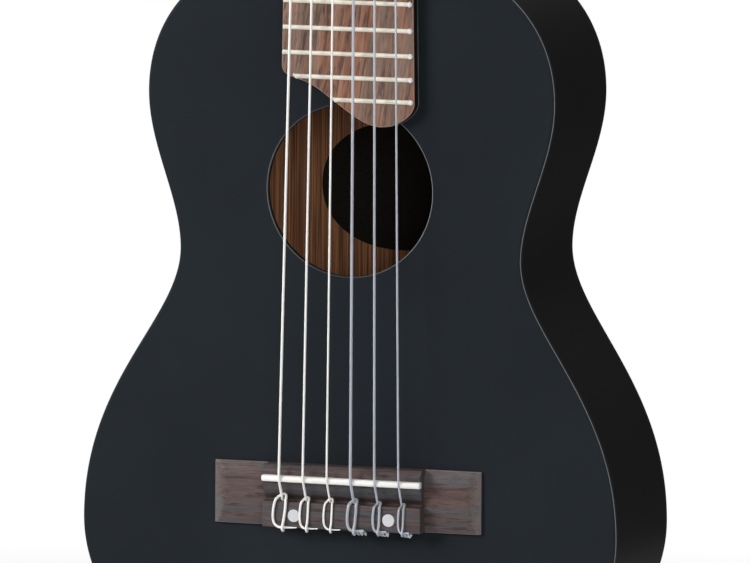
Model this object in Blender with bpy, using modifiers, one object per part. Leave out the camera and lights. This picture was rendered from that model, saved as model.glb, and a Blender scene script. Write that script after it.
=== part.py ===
"""Small six string nylon guitar, tuned like a raised guitar, built as its separate pieces.

Units are metres. X points to the treble side, Z up the neck and Y to the back: the soundboard's
face and the neck's glue face lie in the plane y = 0, and the nut's front edge is at z = 0.
"""

import math

import bmesh
import bpy
from mathutils import Matrix, Vector
from mathutils.geometry import interpolate_bezier

MM = 0.001

# Scale and neck
SCALE_LENGTH = 433 * MM
SADDLE_COMPENSATION = 1.5 * MM
BODY_JOIN_FRET = 12
FRET_COUNT = 18
NUT_WIDTH = 48 * MM
NUT_THICKNESS = 5 * MM
BOARD_END_WIDTH = 57 * MM
BOARD_THICKNESS = 5 * MM
NECK_DEPTH_AT_NUT = 15.5 * MM
NECK_DEPTH_AT_HEEL = 18.5 * MM
HEEL_LENGTH = 34 * MM
HEEL_CAP_LENGTH = 9 * MM
HEEL_CAP_INSET = 1.5 * MM
TENON_WIDTH = 16 * MM
TENON_DEPTH = 44 * MM
TENON_INSET = 8 * MM
TENON_LENGTH = 14 * MM
PALM_POWER = 2.4
HEAD_POWER = 11.6
HEEL_POWER = 2.0
HEEL_REACH = 1.07

# Body outline: widths, the distances below the body's top, and how far each curve stays full
BODY_LENGTH = 318 * MM
BODY_DEPTH = 70 * MM
UPPER_BOUT = 174 * MM
UPPER_BOUT_DROP = 63 * MM
WAIST = 146 * MM
WAIST_DROP = 127 * MM
LOWER_BOUT = 229 * MM
LOWER_BOUT_DROP = 239 * MM
TOP_FULLNESS = 62 * MM
UPPER_BOUT_RISE = 34 * MM
UPPER_BOUT_FALL = 23 * MM
WAIST_RISE = 20.5 * MM
WAIST_FALL = 29 * MM
LOWER_BOUT_RISE = 57 * MM
LOWER_BOUT_FALL = 43 * MM
TAIL_FULLNESS = 66 * MM
OUTLINE_STEPS = 10

# Body walls and what is inside
SOUNDBOARD_THICKNESS = 2.6 * MM
BACK_THICKNESS = 2.6 * MM
RIB_THICKNESS = 2 * MM
EDGE_ROUND = 0.9 * MM
LINING_DEPTH = 4 * MM
LINING_HEIGHT = 10 * MM
LINING_TAPER = 4 * MM
SOUNDHOLE_RADIUS = 36 * MM
SOUNDHOLE_DROP = 100.5 * MM
SOUNDHOLE_STEPS = 48
NECK_BLOCK_WIDTH = 58 * MM
NECK_BLOCK_LENGTH = 30 * MM
TAIL_BLOCK_WIDTH = 64 * MM
TAIL_BLOCK_LENGTH = 14 * MM
BRACE_WIDTH = 8 * MM
BRACE_HEIGHT = 14 * MM
BRACE_END_HEIGHT = 5 * MM
UPPER_BRACE_DROP = 50 * MM
LOWER_BRACE_DROP = 148 * MM
FAN_WIDTH = 5 * MM
FAN_HEIGHT = 5 * MM
FAN_START_DROP = 158 * MM
FAN_END_RISE = 34 * MM
FAN_COUNT = 5
FAN_SPREAD_TOP = 26 * MM
FAN_SPREAD_BOTTOM = 37 * MM
BACK_BRACE_HEIGHT = 11 * MM
BACK_BRACE_DROPS = (46 * MM, 160 * MM, 258 * MM)
BRACE_CLEARANCE = 1 * MM
BRACE_ROOT = 0.4 * MM
BRIDGE_PLATE_LENGTH = 118 * MM
BRIDGE_PLATE_WIDTH = 30 * MM
BRIDGE_PLATE_THICKNESS = 1.6 * MM

# Fingerboard end, measured from the last fret and from the centre line
BASS_CORNER_RISE = 15.4 * MM
BASS_CORNER_FALL = 6.5 * MM
CURVE_MIDDLE_OFFSET = 5.5 * MM
CURVE_MIDDLE_DROP = 1.3 * MM
CURVE_MIDDLE_SLOPE = math.radians(42)
CURVE_MIDDLE_RISE = 14 * MM
CURVE_MIDDLE_FALL = 6.5 * MM
LOBE_OFFSET = 15.3 * MM
LOBE_DROP = 10.9 * MM
LOBE_REACH = 7.2 * MM
TREBLE_CORNER_DROP = 0.6 * MM
TREBLE_CORNER_FALL = 5.5 * MM

# Frets
FRET_CROWN_WIDTH = 1.7 * MM
FRET_CROWN_HEIGHT = 1 * MM
FRET_TANG_WIDTH = 0.6 * MM
FRET_TANG_DEPTH = 1.8 * MM
FRET_INSET = 0.6 * MM
TANG_CLEARANCE = 0.15 * MM

# Strings, from the sixth, at the bass side, to the first
STRING_DIAMETERS = (1.1 * MM, 0.95 * MM, 0.8 * MM, 1.05 * MM, 0.9 * MM, 0.75 * MM)
NUT_SPREAD = 37 * MM
SADDLE_SPREAD = 51.5 * MM
STRING_REST_AT_NUT = 6.4 * MM
NUT_HEIGHT = 7.6 * MM
NUT_ROUND = 1.2 * MM
NUT_BACK_DROP = 0.8 * MM
NUT_SLOT_FALL = 1.6 * MM
NUT_SLOT_CLEARANCE = 0.35 * MM
SLOT_DEPTH_CLEARANCE = 0.2 * MM

# Bridge, with its length along X and the rest measured from the soundboard and the saddle
BRIDGE_LENGTH = 115 * MM
BRIDGE_WIDTH = 25.8 * MM
BRIDGE_LIP = 5 * MM
WING_EDGE_HEIGHT = 2.4 * MM
WING_CROWN_HEIGHT = 3.8 * MM
WING_END_HEIGHT = 1.6 * MM
WING_END_BEVEL = 5.5 * MM
WING_END_ARCH = 0.1 * MM
BLOCK_LENGTH = 70.2 * MM
BLOCK_LIP_HEIGHT = 6.4 * MM
SADDLE_WALL_HEIGHT = 8.6 * MM
SADDLE_WALL = 1.4 * MM
CHANNEL_DISTANCE = 7.6 * MM
CHANNEL_FLOOR = 2.4 * MM
CHANNEL_FILLET = 0.6 * MM
TIE_BLOCK_DISTANCE = 9 * MM
TIE_BLOCK_HEIGHT = 8.6 * MM
TIE_FRONT_BEVEL = 0.5 * MM
TIE_BACK_BEVEL = 0.8 * MM
TIE_HOLE_HEIGHT = 4.1 * MM
TIE_HOLE_RADIUS = 1.1 * MM
TIE_BULGES = (4.6 * MM, 3.4 * MM, 3.1 * MM, 2.8 * MM, 2.2 * MM, 2 * MM)
TIE_TAILS = (5.2 * MM, 5.6 * MM, 4.8 * MM, 4.6 * MM, 4 * MM, 3.4 * MM)
TIE_CROSSING_HEIGHT = 7.7 * MM
TIE_CROSSING_DISTANCE = 1.6 * MM
SADDLE_LENGTH = 69.6 * MM
SADDLE_THICKNESS = 2.4 * MM
SADDLE_TOP = 11.4 * MM
SADDLE_SLOT_FLOOR = 4.4 * MM
SADDLE_SHOULDER = 0.9 * MM
SADDLE_CREST_DROP = 0.2 * MM
BOLT_SPACING = 41 * MM
BOLT_DISTANCE = 14.8 * MM
BOLT_RADIUS = 1.5 * MM
BOLT_HEAD_RADIUS = 2.4 * MM
BOLT_HEAD_HEIGHT = 2 * MM
DOT_RADIUS = 2.5 * MM
DOT_THICKNESS = 1.2 * MM
DOT_PROUD = 0.1 * MM
DOT_BEVEL = 0.15 * MM
BOLT_NUT_RADIUS = 3.2 * MM
BOLT_NUT_HEIGHT = 2.4 * MM
BOLT_HOLE_DEPTH = 10 * MM
WASHER_RADIUS = 4.5 * MM
WASHER_THICKNESS = 0.8 * MM

# Headstock
HEAD_LENGTH = 163.5 * MM
HEAD_ANGLE = math.radians(14)
HEAD_THICKNESS = 14 * MM
HEAD_WIDTH_LOW = 67 * MM
HEAD_LOW_RISE = 46 * MM
HEAD_WIDTH_HIGH = 58 * MM
HEAD_SHOULDER_DROP = 13 * MM

# Tuning machines
POST_SPACING = 38 * MM
FIRST_POST_RISE = 42 * MM
POST_OFFSET = 22 * MM
POST_RADIUS = 3 * MM
POST_HEIGHT = 13 * MM
POST_HEAD_RADIUS = 3.3 * MM
POST_WAIST_RADIUS = 2.6 * MM
POST_ROUND = 0.8 * MM
POST_FOOT = 0.6 * MM
BUSHING_RADIUS = 4.4 * MM
BUSHING_FLANGE_RADIUS = 5.6 * MM
BUSHING_FLANGE_HEIGHT = 1.2 * MM
BUSHING_BEVEL = 0.5 * MM
WINDING_RADIUS = 4.4 * MM
WINDING_START = 3.2 * MM
WINDING_END = 8.6 * MM
GEAR_TEETH = 14
GEAR_MODULE = 0.8 * MM
GEAR_THICKNESS = 3 * MM
WORM_RADIUS = 3 * MM
WORM_LENGTH = 7.6 * MM
WORM_SHAFT_RADIUS = 1.8 * MM
TOOTH_ADDENDUM = 0.55 * MM
TOOTH_DEDENDUM = 1.05 * MM
THREAD_HEIGHT = 0.7 * MM
CASE_WALL = 1.2 * MM
CASE_BEVEL = 1.6 * MM
CASE_CORNER = 3 * MM
COLLAR_RADIUS = 3.1 * MM
COLLAR_LENGTH = 1.2 * MM
BUTTON_STANDOFF = 6 * MM
BUTTON_LENGTH = 15 * MM
BUTTON_WIDTH = 17 * MM
BUTTON_THICKNESS = 8.2 * MM

# Fits
SEAT_GAP = 0.3 * MM
RUNNING_GAP = 0.3 * MM
OVERCUT = 1 * MM

COLLECTION = "guitalele"
FRONT_TO_Z = Matrix.Rotation(math.radians(90), 4, "X")


def fret_z(number):
    """Height of a fret by the equal tempered rule."""
    return -SCALE_LENGTH * (1 - 2 ** (-number / 12))


SADDLE_Z = -SCALE_LENGTH - SADDLE_COMPENSATION
BODY_TOP = fret_z(BODY_JOIN_FRET)
BODY_BOTTOM = BODY_TOP - BODY_LENGTH
SOUNDHOLE_Z = BODY_TOP - SOUNDHOLE_DROP
LAST_FRET_Z = fret_z(FRET_COUNT)
BRIDGE_TOP = SADDLE_Z + BRIDGE_LIP
BRIDGE_BOTTOM = BRIDGE_TOP - BRIDGE_WIDTH
TIE_FRONT = SADDLE_Z - TIE_BLOCK_DISTANCE
BOLT_Z = SADDLE_Z - BOLT_DISTANCE
RIB_FRONT = SOUNDBOARD_THICKNESS + SEAT_GAP
RIB_BACK = BODY_DEPTH - BACK_THICKNESS - SEAT_GAP
GEAR_RADIUS = GEAR_TEETH * GEAR_MODULE / 2
WORM_LEAD = math.pi * GEAR_MODULE
WORM_DISTANCE = GEAR_RADIUS + WORM_RADIUS
GEAR_CAVITY_RADIUS = GEAR_RADIUS + TOOTH_ADDENDUM + 2 * RUNNING_GAP
WORM_CAVITY_RADIUS = WORM_RADIUS + THREAD_HEIGHT + 2 * RUNNING_GAP
CAVITY_HEIGHT = 2 * WORM_CAVITY_RADIUS
CASE_HEIGHT = CAVITY_HEIGHT + 2 * CASE_WALL
CASE_TOP = -HEAD_THICKNESS - SEAT_GAP
GEAR_LEVEL = CASE_TOP - CASE_HEIGHT / 2
CASE_HALF_WIDTH = GEAR_CAVITY_RADIUS + CASE_WALL
CASE_HIGH = GEAR_CAVITY_RADIUS + CASE_WALL
CASE_LOW = WORM_DISTANCE + WORM_CAVITY_RADIUS + CASE_WALL


# Scene helpers

def clear_scene():
    """Remove every object of the open scene."""
    for item in list(bpy.data.objects):
        bpy.data.objects.remove(item, do_unlink=True)


def make_collections():
    """One collection for the pieces and one for the cutters."""
    pieces = bpy.data.collections.new(COLLECTION)
    cutters = bpy.data.collections.new("cutters")
    bpy.context.scene.collection.children.link(pieces)
    bpy.context.scene.collection.children.link(cutters)
    cutters.hide_render = True
    return pieces, cutters


def finish(name, color, roughness, metallic=0.0):
    """A plain surface finish."""
    material = bpy.data.materials.new(name)
    material.use_nodes = True
    shader = material.node_tree.nodes["Principled BSDF"]
    shader.inputs["Base Color"].default_value = (*color, 1.0)
    shader.inputs["Roughness"].default_value = roughness
    shader.inputs["Metallic"].default_value = metallic
    return material


def black_satin(name):
    return finish(name, (0.012, 0.013, 0.015), 0.35)


def chrome(name):
    return finish(name, (0.75, 0.76, 0.78), 0.15, 1.0)


def add_piece(name, mesh, material, matrix=None):
    """Link a mesh as one named piece."""
    piece = bpy.data.objects.new(name, mesh)
    PIECES.objects.link(piece)
    if matrix is not None:
        piece.matrix_world = matrix
    mesh.materials.clear()
    mesh.materials.append(material)
    return piece


def add_cutter(name, mesh, matrix=None):
    """Link a mesh that only cuts or joins other pieces."""
    cutter = bpy.data.objects.new(name, mesh)
    CUTTERS.objects.link(cutter)
    cutter.hide_render = True
    cutter.display_type = "WIRE"
    if matrix is not None:
        cutter.matrix_world = matrix
    return cutter


def boolean(piece, operation, other):
    modifier = piece.modifiers.new(other.name, "BOOLEAN")
    modifier.operation = operation
    modifier.solver = "EXACT"
    modifier.object = other


def cut(piece, cutter):
    boolean(piece, "DIFFERENCE", cutter)


def join(piece, addition):
    boolean(piece, "UNION", addition)


def shade(mesh, angle=30):
    mesh.shade_smooth()
    mesh.set_sharp_from_angle(angle=math.radians(angle))


def box_mesh(name, low, high):
    """Closed box between two corners."""
    low, high = Vector(low), Vector(high)
    size = high - low
    bm = bmesh.new()
    place = Matrix.Translation((low + high) / 2) @ Matrix.Diagonal((*size, 1))
    bmesh.ops.create_cube(bm, size=1.0, matrix=place)
    return mesh_from(bm, name)


def rod_mesh(name, radius, start, end, steps=16, far_radius=None):
    """Closed cylinder or cone between two points."""
    start, end = Vector(start), Vector(end)
    axis = end - start
    turn = Vector((0, 0, 1)).rotation_difference(axis).to_matrix().to_4x4()
    bm = bmesh.new()
    bmesh.ops.create_cone(
        bm,
        cap_ends=True,
        segments=steps,
        radius1=radius,
        radius2=radius if far_radius is None else far_radius,
        depth=axis.length,
        matrix=Matrix.Translation((start + end) / 2) @ turn,
    )
    return mesh_from(bm, name)


def mesh_from(bm, name):
    mesh = bpy.data.meshes.new(name)
    bmesh.ops.recalc_face_normals(bm, faces=bm.faces)
    bm.to_mesh(mesh)
    bm.free()
    return mesh


def loft_mesh(name, rings):
    """Skin a row of rings with the same number of points, and close both ends."""
    bm = bmesh.new()
    rows = [[bm.verts.new(point) for point in ring] for ring in rings]
    count = len(rows[0])
    for row, following in zip(rows, rows[1:]):
        for i in range(count):
            j = (i + 1) % count
            bm.faces.new((row[i], row[j], following[j], following[i]))
    bm.faces.new(rows[0])
    bm.faces.new(reversed(rows[-1]))
    return mesh_from(bm, name)


def turned_mesh(name, profile, steps):
    """Turn a profile of (radius, height), listed from the top down, about Z with a Screw modifier."""
    bm = bmesh.new()
    row = [bm.verts.new((radius, 0, height)) for radius, height in profile]
    for a, b in zip(row, row[1:]):
        bm.edges.new((a, b))
    line = bpy.data.meshes.new(name)
    bm.to_mesh(line)
    bm.free()
    carrier = bpy.data.objects.new(name, line)
    CUTTERS.objects.link(carrier)
    screw = carrier.modifiers.new("turn", "SCREW")
    screw.steps = steps
    screw.render_steps = steps
    screw.use_merge_vertices = True
    screw.merge_threshold = 0.000001
    return baked_mesh(carrier)


def baked_mesh(item):
    """The evaluated mesh of a curve or of an object with modifiers, which is then removed."""
    bpy.context.view_layer.update()
    graph = bpy.context.evaluated_depsgraph_get()
    name = item.name
    mesh = bpy.data.meshes.new_from_object(item.evaluated_get(graph))
    bm = bmesh.new()
    bm.from_mesh(mesh)
    bmesh.ops.remove_doubles(bm, verts=bm.verts, dist=0.0000005)
    bmesh.ops.recalc_face_normals(bm, faces=bm.faces)
    bm.to_mesh(mesh)
    bm.free()
    bpy.data.objects.remove(item, do_unlink=True)
    mesh.name = name
    return mesh


def flat_mesh(name, outlines, thickness):
    """A flat outline with any holes in it, filled and given its thickness as a 2D curve."""
    curve = bpy.data.curves.new(name, "CURVE")
    curve.dimensions = "2D"
    curve.fill_mode = "BOTH"
    curve.extrude = thickness / 2
    for outline in outlines:
        spline = curve.splines.new("POLY")
        spline.points.add(len(outline) - 1)
        for point, (across, along) in zip(spline.points, outline):
            point.co = (across, along, 0, 1)
        spline.use_cyclic_u = True
    carrier = bpy.data.objects.new(name, curve)
    CUTTERS.objects.link(carrier)
    return baked_mesh(carrier)


def facing(front, back):
    """Places a flat outline, drawn in X and Z, between two depths."""
    return Matrix.Translation((0, (front + back) / 2, 0)) @ FRONT_TO_Z


def in_profile(middle=0.0):
    """Places a flat outline, drawn as (height above the soundboard, Z), square to X."""
    axes = Matrix(((0, 0, -1, middle), (-1, 0, 0, 0), (0, 1, 0, 0), (0, 0, 0, 1)))
    return axes


def plate(name, outlines, front, back, material):
    return add_piece(name, flat_mesh(name, outlines, back - front), material, facing(front, back))


def profile_bar(name, outline, length, middle=0.0):
    """A bar along X with one cross section, as (mesh, matrix)."""
    return flat_mesh(name, [outline], length), in_profile(middle)


def circle(radius, center, steps):
    x, z = center
    turns = [2 * math.pi * i / steps for i in range(steps)]
    return [(x + radius * math.cos(turn), z + radius * math.sin(turn)) for turn in turns]


def bezier_line(anchors, steps):
    """Points along joined Bezier curves. An anchor is (point, handle before, handle after)."""
    line = []
    for (start, _, leaving), (end, arriving, _) in zip(anchors, anchors[1:]):
        points = interpolate_bezier(
            Vector((*start, 0)), Vector((*leaving, 0)), Vector((*arriving, 0)), Vector((*end, 0)), steps + 1
        )
        line += [(point.x, point.y) for point in points[:-1]]
    line.append(tuple(anchors[-1][0]))
    return line


# Body outline

def half_outline():
    """The treble half of the body's outline, from the neck joint to the tail, as (x, z)."""
    upper = (UPPER_BOUT / 2, BODY_TOP - UPPER_BOUT_DROP)
    waist = (WAIST / 2, BODY_TOP - WAIST_DROP)
    lower = (LOWER_BOUT / 2, BODY_TOP - LOWER_BOUT_DROP)
    anchors = [
        ((0, BODY_TOP), None, (TOP_FULLNESS, BODY_TOP)),
        (upper, (upper[0], upper[1] + UPPER_BOUT_RISE), (upper[0], upper[1] - UPPER_BOUT_FALL)),
        (waist, (waist[0], waist[1] + WAIST_RISE), (waist[0], waist[1] - WAIST_FALL)),
        (lower, (lower[0], lower[1] + LOWER_BOUT_RISE), (lower[0], lower[1] - LOWER_BOUT_FALL)),
        ((0, BODY_BOTTOM), (TAIL_FULLNESS, BODY_BOTTOM), None),
    ]
    return bezier_line(anchors, OUTLINE_STEPS)


def full_outline(room=0.0):
    """The whole outline, widened all round by some room."""
    line = half_outline()
    normals = [inward_normal(line, index) for index in range(len(line))]
    half = [(x - normal.x * room, z - normal.y * room) for (x, z), normal in zip(line, normals)]
    return half + [(-x, z) for x, z in reversed(half[1:-1])]


def outline_top(x):
    """Height of the body's top edge at a distance from the centre line."""
    line = [point for point in half_outline() if point[1] > BODY_TOP - UPPER_BOUT_DROP]
    return crossing(line, abs(x))


def crossing(line, value):
    """Second coordinate where a line, rising in its first, reaches a value."""
    for (a, b), (c, d) in zip(line, line[1:]):
        if a <= value <= c:
            return b + (d - b) * (value - a) / (c - a)
    return line[-1][1]


def outline_reach(z):
    """Half of the body's width at a height."""
    line = sorted((point[1], point[0]) for point in half_outline())
    return crossing(line, z)


# Body

def mark_round_edges(mesh, depth, tolerance=0.00001):
    """Bevel weight on the rim edges that lie on the plate's outer face, in its own Z."""
    bm = bmesh.new()
    bm.from_mesh(mesh)
    weights = bm.edges.layers.float.new("bevel_weight_edge")
    for edge in bm.edges:
        on_face = all(abs(vert.co.z - depth) < tolerance for vert in edge.verts)
        if on_face and edge.calc_face_angle(0) > 1:
            edge[weights] = 1.0
    bm.to_mesh(mesh)
    bm.free()


def round_rim(piece, width, segments=2):
    modifier = piece.modifiers.new("rounded rim", "BEVEL")
    modifier.limit_method = "WEIGHT"
    modifier.width = width
    modifier.segments = segments
    modifier.use_clamp_overlap = True


def make_soundboard():
    hole = circle(SOUNDHOLE_RADIUS, (0, SOUNDHOLE_Z), SOUNDHOLE_STEPS)
    board = plate("soundboard", [full_outline(), hole], 0, SOUNDBOARD_THICKNESS, black_satin("soundboard"))
    mark_round_edges(board.data, SOUNDBOARD_THICKNESS / 2)
    round_rim(board, EDGE_ROUND)
    for index in range(FAN_COUNT):
        join(board, fan_strut(index))
    room = Vector((SEAT_GAP, 0, SEAT_GAP))
    low, high = bridge_plate_corners()
    notch = box_mesh("plate_notch", low - room, high + room + Vector((0, SEAT_GAP, 0)))
    cut(board, add_cutter("plate_notch", notch))
    for side in (-1, 1):
        cut(board, bolt_hole(f"board_bolt_hole_{side}", side))
    return board


def fan_strut(index):
    """A strut under the soundboard, with its ends scooped down."""
    share = index - (FAN_COUNT - 1) / 2
    top = Vector((share * FAN_SPREAD_TOP, 0, BODY_TOP - FAN_START_DROP))
    bottom = Vector((share * FAN_SPREAD_BOTTOM, 0, BODY_BOTTOM + FAN_END_RISE + abs(share) * FAN_WIDTH * 2))
    along = bottom - top
    half = Vector((FAN_WIDTH / 2, 0, 0))
    root = SOUNDBOARD_THICKNESS - BRACE_ROOT
    rings = []
    for place, height in ((0, 0.3), (0.12, 1), (0.88, 1), (1, 0.3)):
        middle = top + along * place
        crest = SOUNDBOARD_THICKNESS + FAN_HEIGHT * height
        rings.append([
            middle - half + Vector((0, root, 0)),
            middle + half + Vector((0, root, 0)),
            middle + half * 0.6 + Vector((0, crest, 0)),
            middle - half * 0.6 + Vector((0, crest, 0)),
        ])
    return add_cutter(f"fan_strut_{index}", loft_mesh(f"fan_strut_{index}", rings))


def brace_rings(z, front, height, reach):
    """A cross brace with its ends scooped down, as rings along X. Height may point either way."""
    sign = 1 if height > 0 else -1
    low = BRACE_END_HEIGHT * sign
    rings = []
    for x, crest in ((-reach, low), (-reach * 0.72, height), (reach * 0.72, height), (reach, low)):
        rings.append([
            (x, front, z - BRACE_WIDTH / 2),
            (x, front, z + BRACE_WIDTH / 2),
            (x, front + crest * 0.8, z + BRACE_WIDTH / 2),
            (x, front + crest, z + BRACE_WIDTH / 5),
            (x, front + crest, z - BRACE_WIDTH / 5),
            (x, front + crest * 0.8, z - BRACE_WIDTH / 2),
        ])
    return rings


def brace_reach(z):
    """How far a brace runs to stop short of the linings at both of its edges."""
    nearest = min(outline_reach(z + BRACE_WIDTH / 2), outline_reach(z - BRACE_WIDTH / 2))
    return nearest - RIB_THICKNESS - LINING_DEPTH - SEAT_GAP - BRACE_CLEARANCE


def make_soundboard_brace(name, drop):
    z = BODY_TOP - drop
    rings = brace_rings(z, SOUNDBOARD_THICKNESS + SEAT_GAP, BRACE_HEIGHT, brace_reach(z))
    return add_piece(name, loft_mesh(name, rings), finish(name, (0.55, 0.38, 0.2), 0.7))


def make_back():
    inside = BODY_DEPTH - BACK_THICKNESS
    back = plate("back_plate", [full_outline()], inside, BODY_DEPTH, black_satin("back_plate"))
    mark_round_edges(back.data, -BACK_THICKNESS / 2)
    round_rim(back, EDGE_ROUND)
    for index, drop in enumerate(BACK_BRACE_DROPS):
        z = BODY_TOP - drop
        rings = brace_rings(z, inside + BRACE_ROOT, -BACK_BRACE_HEIGHT, brace_reach(z))
        join(back, add_cutter(f"back_brace_{index}", loft_mesh(f"back_brace_{index}", rings)))
    return back


def inward_normal(line, index):
    """Unit direction square to a line, to its right hand side as it runs."""
    before = Vector(line[max(index - 1, 0)])
    after = Vector(line[min(index + 1, len(line) - 1)])
    along = (after - before).normalized()
    return Vector((along.y, -along.x))


def rib_stations():
    """Outline points of the treble side with the depth of its lining there: it stops at the blocks."""
    middle = BODY_TOP - BODY_LENGTH / 2
    line = half_outline()
    top = [point for point in line if point[1] > middle]
    bottom = [point for point in reversed(line) if point[1] <= middle]
    upper = stations_from_center(top, TENON_WIDTH / 2 + SEAT_GAP, NECK_BLOCK_WIDTH / 2 + SEAT_GAP)
    lower = stations_from_center(bottom, SEAT_GAP / 2, TAIL_BLOCK_WIDTH / 2 + SEAT_GAP)
    return upper + lower[::-1]


def stations_from_center(line, start, block_edge):
    """Stations of a line that leaves the centre: bare beside the block, then with the lining."""
    ramp_end = block_edge + LINING_DEPTH
    spacing = LINING_DEPTH / 3
    marks = (start, block_edge, ramp_end)
    first_far = next(i for i, point in enumerate(line) if point[0] > ramp_end + spacing)
    near = [(x, crossing(line, x)) for x in marks]
    near += [
        point for point in line[:first_far]
        if point[0] > start and min(abs(point[0] - x) for x in marks) > spacing
    ]
    bare = [(point, LINING_DEPTH if point[0] >= ramp_end else 0) for point in sorted(near)]
    return bare + [(point, LINING_DEPTH) for point in line[first_far:]]


def make_rib(name, side):
    """A bent side with its linings, between the soundboard and the back."""
    stations = rib_stations()
    line = [point for point, _ in stations]
    rings = []
    for index, ((x, z), lining) in enumerate(stations):
        at_end = index in (0, len(stations) - 1)
        normal = Vector((0, math.copysign(1, index - 1))) if at_end else inward_normal(line, index)
        inner = RIB_THICKNESS
        section = (
            (0, RIB_FRONT),
            (0, RIB_BACK),
            (inner + lining, RIB_BACK),
            (inner + lining, RIB_BACK - LINING_HEIGHT),
            (inner, RIB_BACK - LINING_HEIGHT - LINING_TAPER),
            (inner, RIB_FRONT + LINING_HEIGHT + LINING_TAPER),
            (inner + lining, RIB_FRONT + LINING_HEIGHT),
            (inner + lining, RIB_FRONT),
        )
        rings.append([(side * (x + normal.x * inset), depth, z + normal.y * inset) for inset, depth in section])
    mesh = loft_mesh(name, rings)
    shade(mesh)
    return add_piece(name, mesh, black_satin(name))


def make_neck_block():
    """Block inside the body's top, following the side's curve, with a mortise for the heel's tenon."""
    half = NECK_BLOCK_WIDTH / 2
    inner = RIB_THICKNESS + SEAT_GAP
    steps = 8
    curve = [half - NECK_BLOCK_WIDTH * i / steps for i in range(steps + 1)]
    rim = [(x, outline_top(x) - inner * 1.05) for x in curve]
    floor = BODY_TOP - inner - NECK_BLOCK_LENGTH
    rim += [(-half, floor), (half, floor)]
    block = plate("neck_block", [rim], RIB_FRONT, RIB_BACK, finish("neck_block", (0.36, 0.17, 0.09), 0.6))
    low = (-TENON_WIDTH / 2 - SEAT_GAP, TENON_INSET - SEAT_GAP, BODY_TOP - TENON_LENGTH - SEAT_GAP)
    high = (TENON_WIDTH / 2 + SEAT_GAP, TENON_INSET + TENON_DEPTH + SEAT_GAP, BODY_TOP)
    cut(block, add_cutter("mortise", box_mesh("mortise", low, high)))
    return block


def make_tail_block():
    half = TAIL_BLOCK_WIDTH / 2
    inner = (RIB_THICKNESS + SEAT_GAP) * 1.05
    rising = sorted(point for point in half_outline() if point[1] < BODY_TOP - LOWER_BOUT_DROP)
    steps = 8
    curve = [-half + TAIL_BLOCK_WIDTH * i / steps for i in range(steps + 1)]
    rim = [(x, crossing(rising, abs(x)) + inner) for x in curve]
    ceiling = BODY_BOTTOM + inner + TAIL_BLOCK_LENGTH
    rim += [(half, ceiling), (-half, ceiling)]
    return plate("tail_block", [rim], RIB_FRONT, RIB_BACK, finish("tail_block", (0.36, 0.17, 0.09), 0.6))


# Fingerboard, frets and nut

def board_half_width(z):
    """Half of the fingerboard's width, tapering from the nut to the last fret."""
    return (NUT_WIDTH + (BOARD_END_WIDTH - NUT_WIDTH) * z / LAST_FRET_Z) / 2


def board_outline(inset=0.0):
    """Fingerboard outline, whose end runs as a long S from the bass corner to a lobe."""
    bass_z = LAST_FRET_Z + BASS_CORNER_RISE
    bass = (-board_half_width(bass_z) + inset, bass_z)
    slope = Vector((math.cos(CURVE_MIDDLE_SLOPE), -math.sin(CURVE_MIDDLE_SLOPE)))
    middle = Vector((-CURVE_MIDDLE_OFFSET, LAST_FRET_Z - CURVE_MIDDLE_DROP + inset))
    before, after = middle - slope * CURVE_MIDDLE_RISE, middle + slope * CURVE_MIDDLE_FALL
    lobe = (LOBE_OFFSET, LAST_FRET_Z - LOBE_DROP + inset)
    treble_z = LAST_FRET_Z - TREBLE_CORNER_DROP
    treble = (board_half_width(treble_z) - inset, treble_z)
    anchors = [
        (bass, None, (bass[0], bass[1] - BASS_CORNER_FALL)),
        (tuple(middle), tuple(before), tuple(after)),
        (lobe, (lobe[0] - LOBE_REACH, lobe[1]), (lobe[0] + LOBE_REACH, lobe[1])),
        (treble, (treble[0], treble[1] - TREBLE_CORNER_FALL), None),
    ]
    top = -SEAT_GAP
    start = [(-board_half_width(0) + inset, top)]
    return start + bezier_line(anchors, 8) + [(board_half_width(0) - inset, top)]


def make_fingerboard():
    rosewood = finish("fingerboard", (0.16, 0.1, 0.08), 0.55)
    board = plate("fingerboard", [board_outline()], -BOARD_THICKNESS, -SEAT_GAP, rosewood)
    for number in range(1, FRET_COUNT + 1):
        z = fret_z(number)
        half = FRET_TANG_WIDTH / 2 + TANG_CLEARANCE
        reach = board_half_width(z) + OVERCUT
        floor = -BOARD_THICKNESS + FRET_TANG_DEPTH + TANG_CLEARANCE
        low = (-reach, -BOARD_THICKNESS - OVERCUT, z - half)
        name = f"slot_{number:02d}"
        cut(board, add_cutter(name, box_mesh(name, low, (reach, floor, z + half))))
    return board


def fret_section(z):
    """Crown and tang of a fret, as (height above the soundboard, z)."""
    base = BOARD_THICKNESS + TANG_CLEARANCE
    half, tang = FRET_CROWN_WIDTH / 2, FRET_TANG_WIDTH / 2
    crown = []
    for i in range(7):
        turn = math.pi * i / 6
        crown.append((base + (FRET_CROWN_HEIGHT - TANG_CLEARANCE) * math.sin(turn), z + half * math.cos(turn)))
    foot = BOARD_THICKNESS - FRET_TANG_DEPTH
    return crown + [(base, z - tang), (foot, z - tang), (foot, z + tang), (base, z + tang)]


def make_frets():
    trim = add_cutter(
        "fret_trim",
        flat_mesh("fret_trim", [board_outline(FRET_INSET)], 4 * BOARD_THICKNESS),
        facing(-3 * BOARD_THICKNESS, BOARD_THICKNESS),
    )
    for number in range(1, FRET_COUNT + 1):
        name = f"fret_{number:02d}"
        z = fret_z(number)
        reach = board_half_width(z) - FRET_INSET
        reaches_curve = z < LAST_FRET_Z + BASS_CORNER_RISE
        if reaches_curve:
            reach += OVERCUT
        mesh, matrix = profile_bar(name, fret_section(z), 2 * reach)
        shade(mesh, 40)
        fret = add_piece(name, mesh, finish(name, (0.72, 0.7, 0.64), 0.28, 1.0), matrix)
        if reaches_curve:
            boolean(fret, "INTERSECT", trim)


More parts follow.
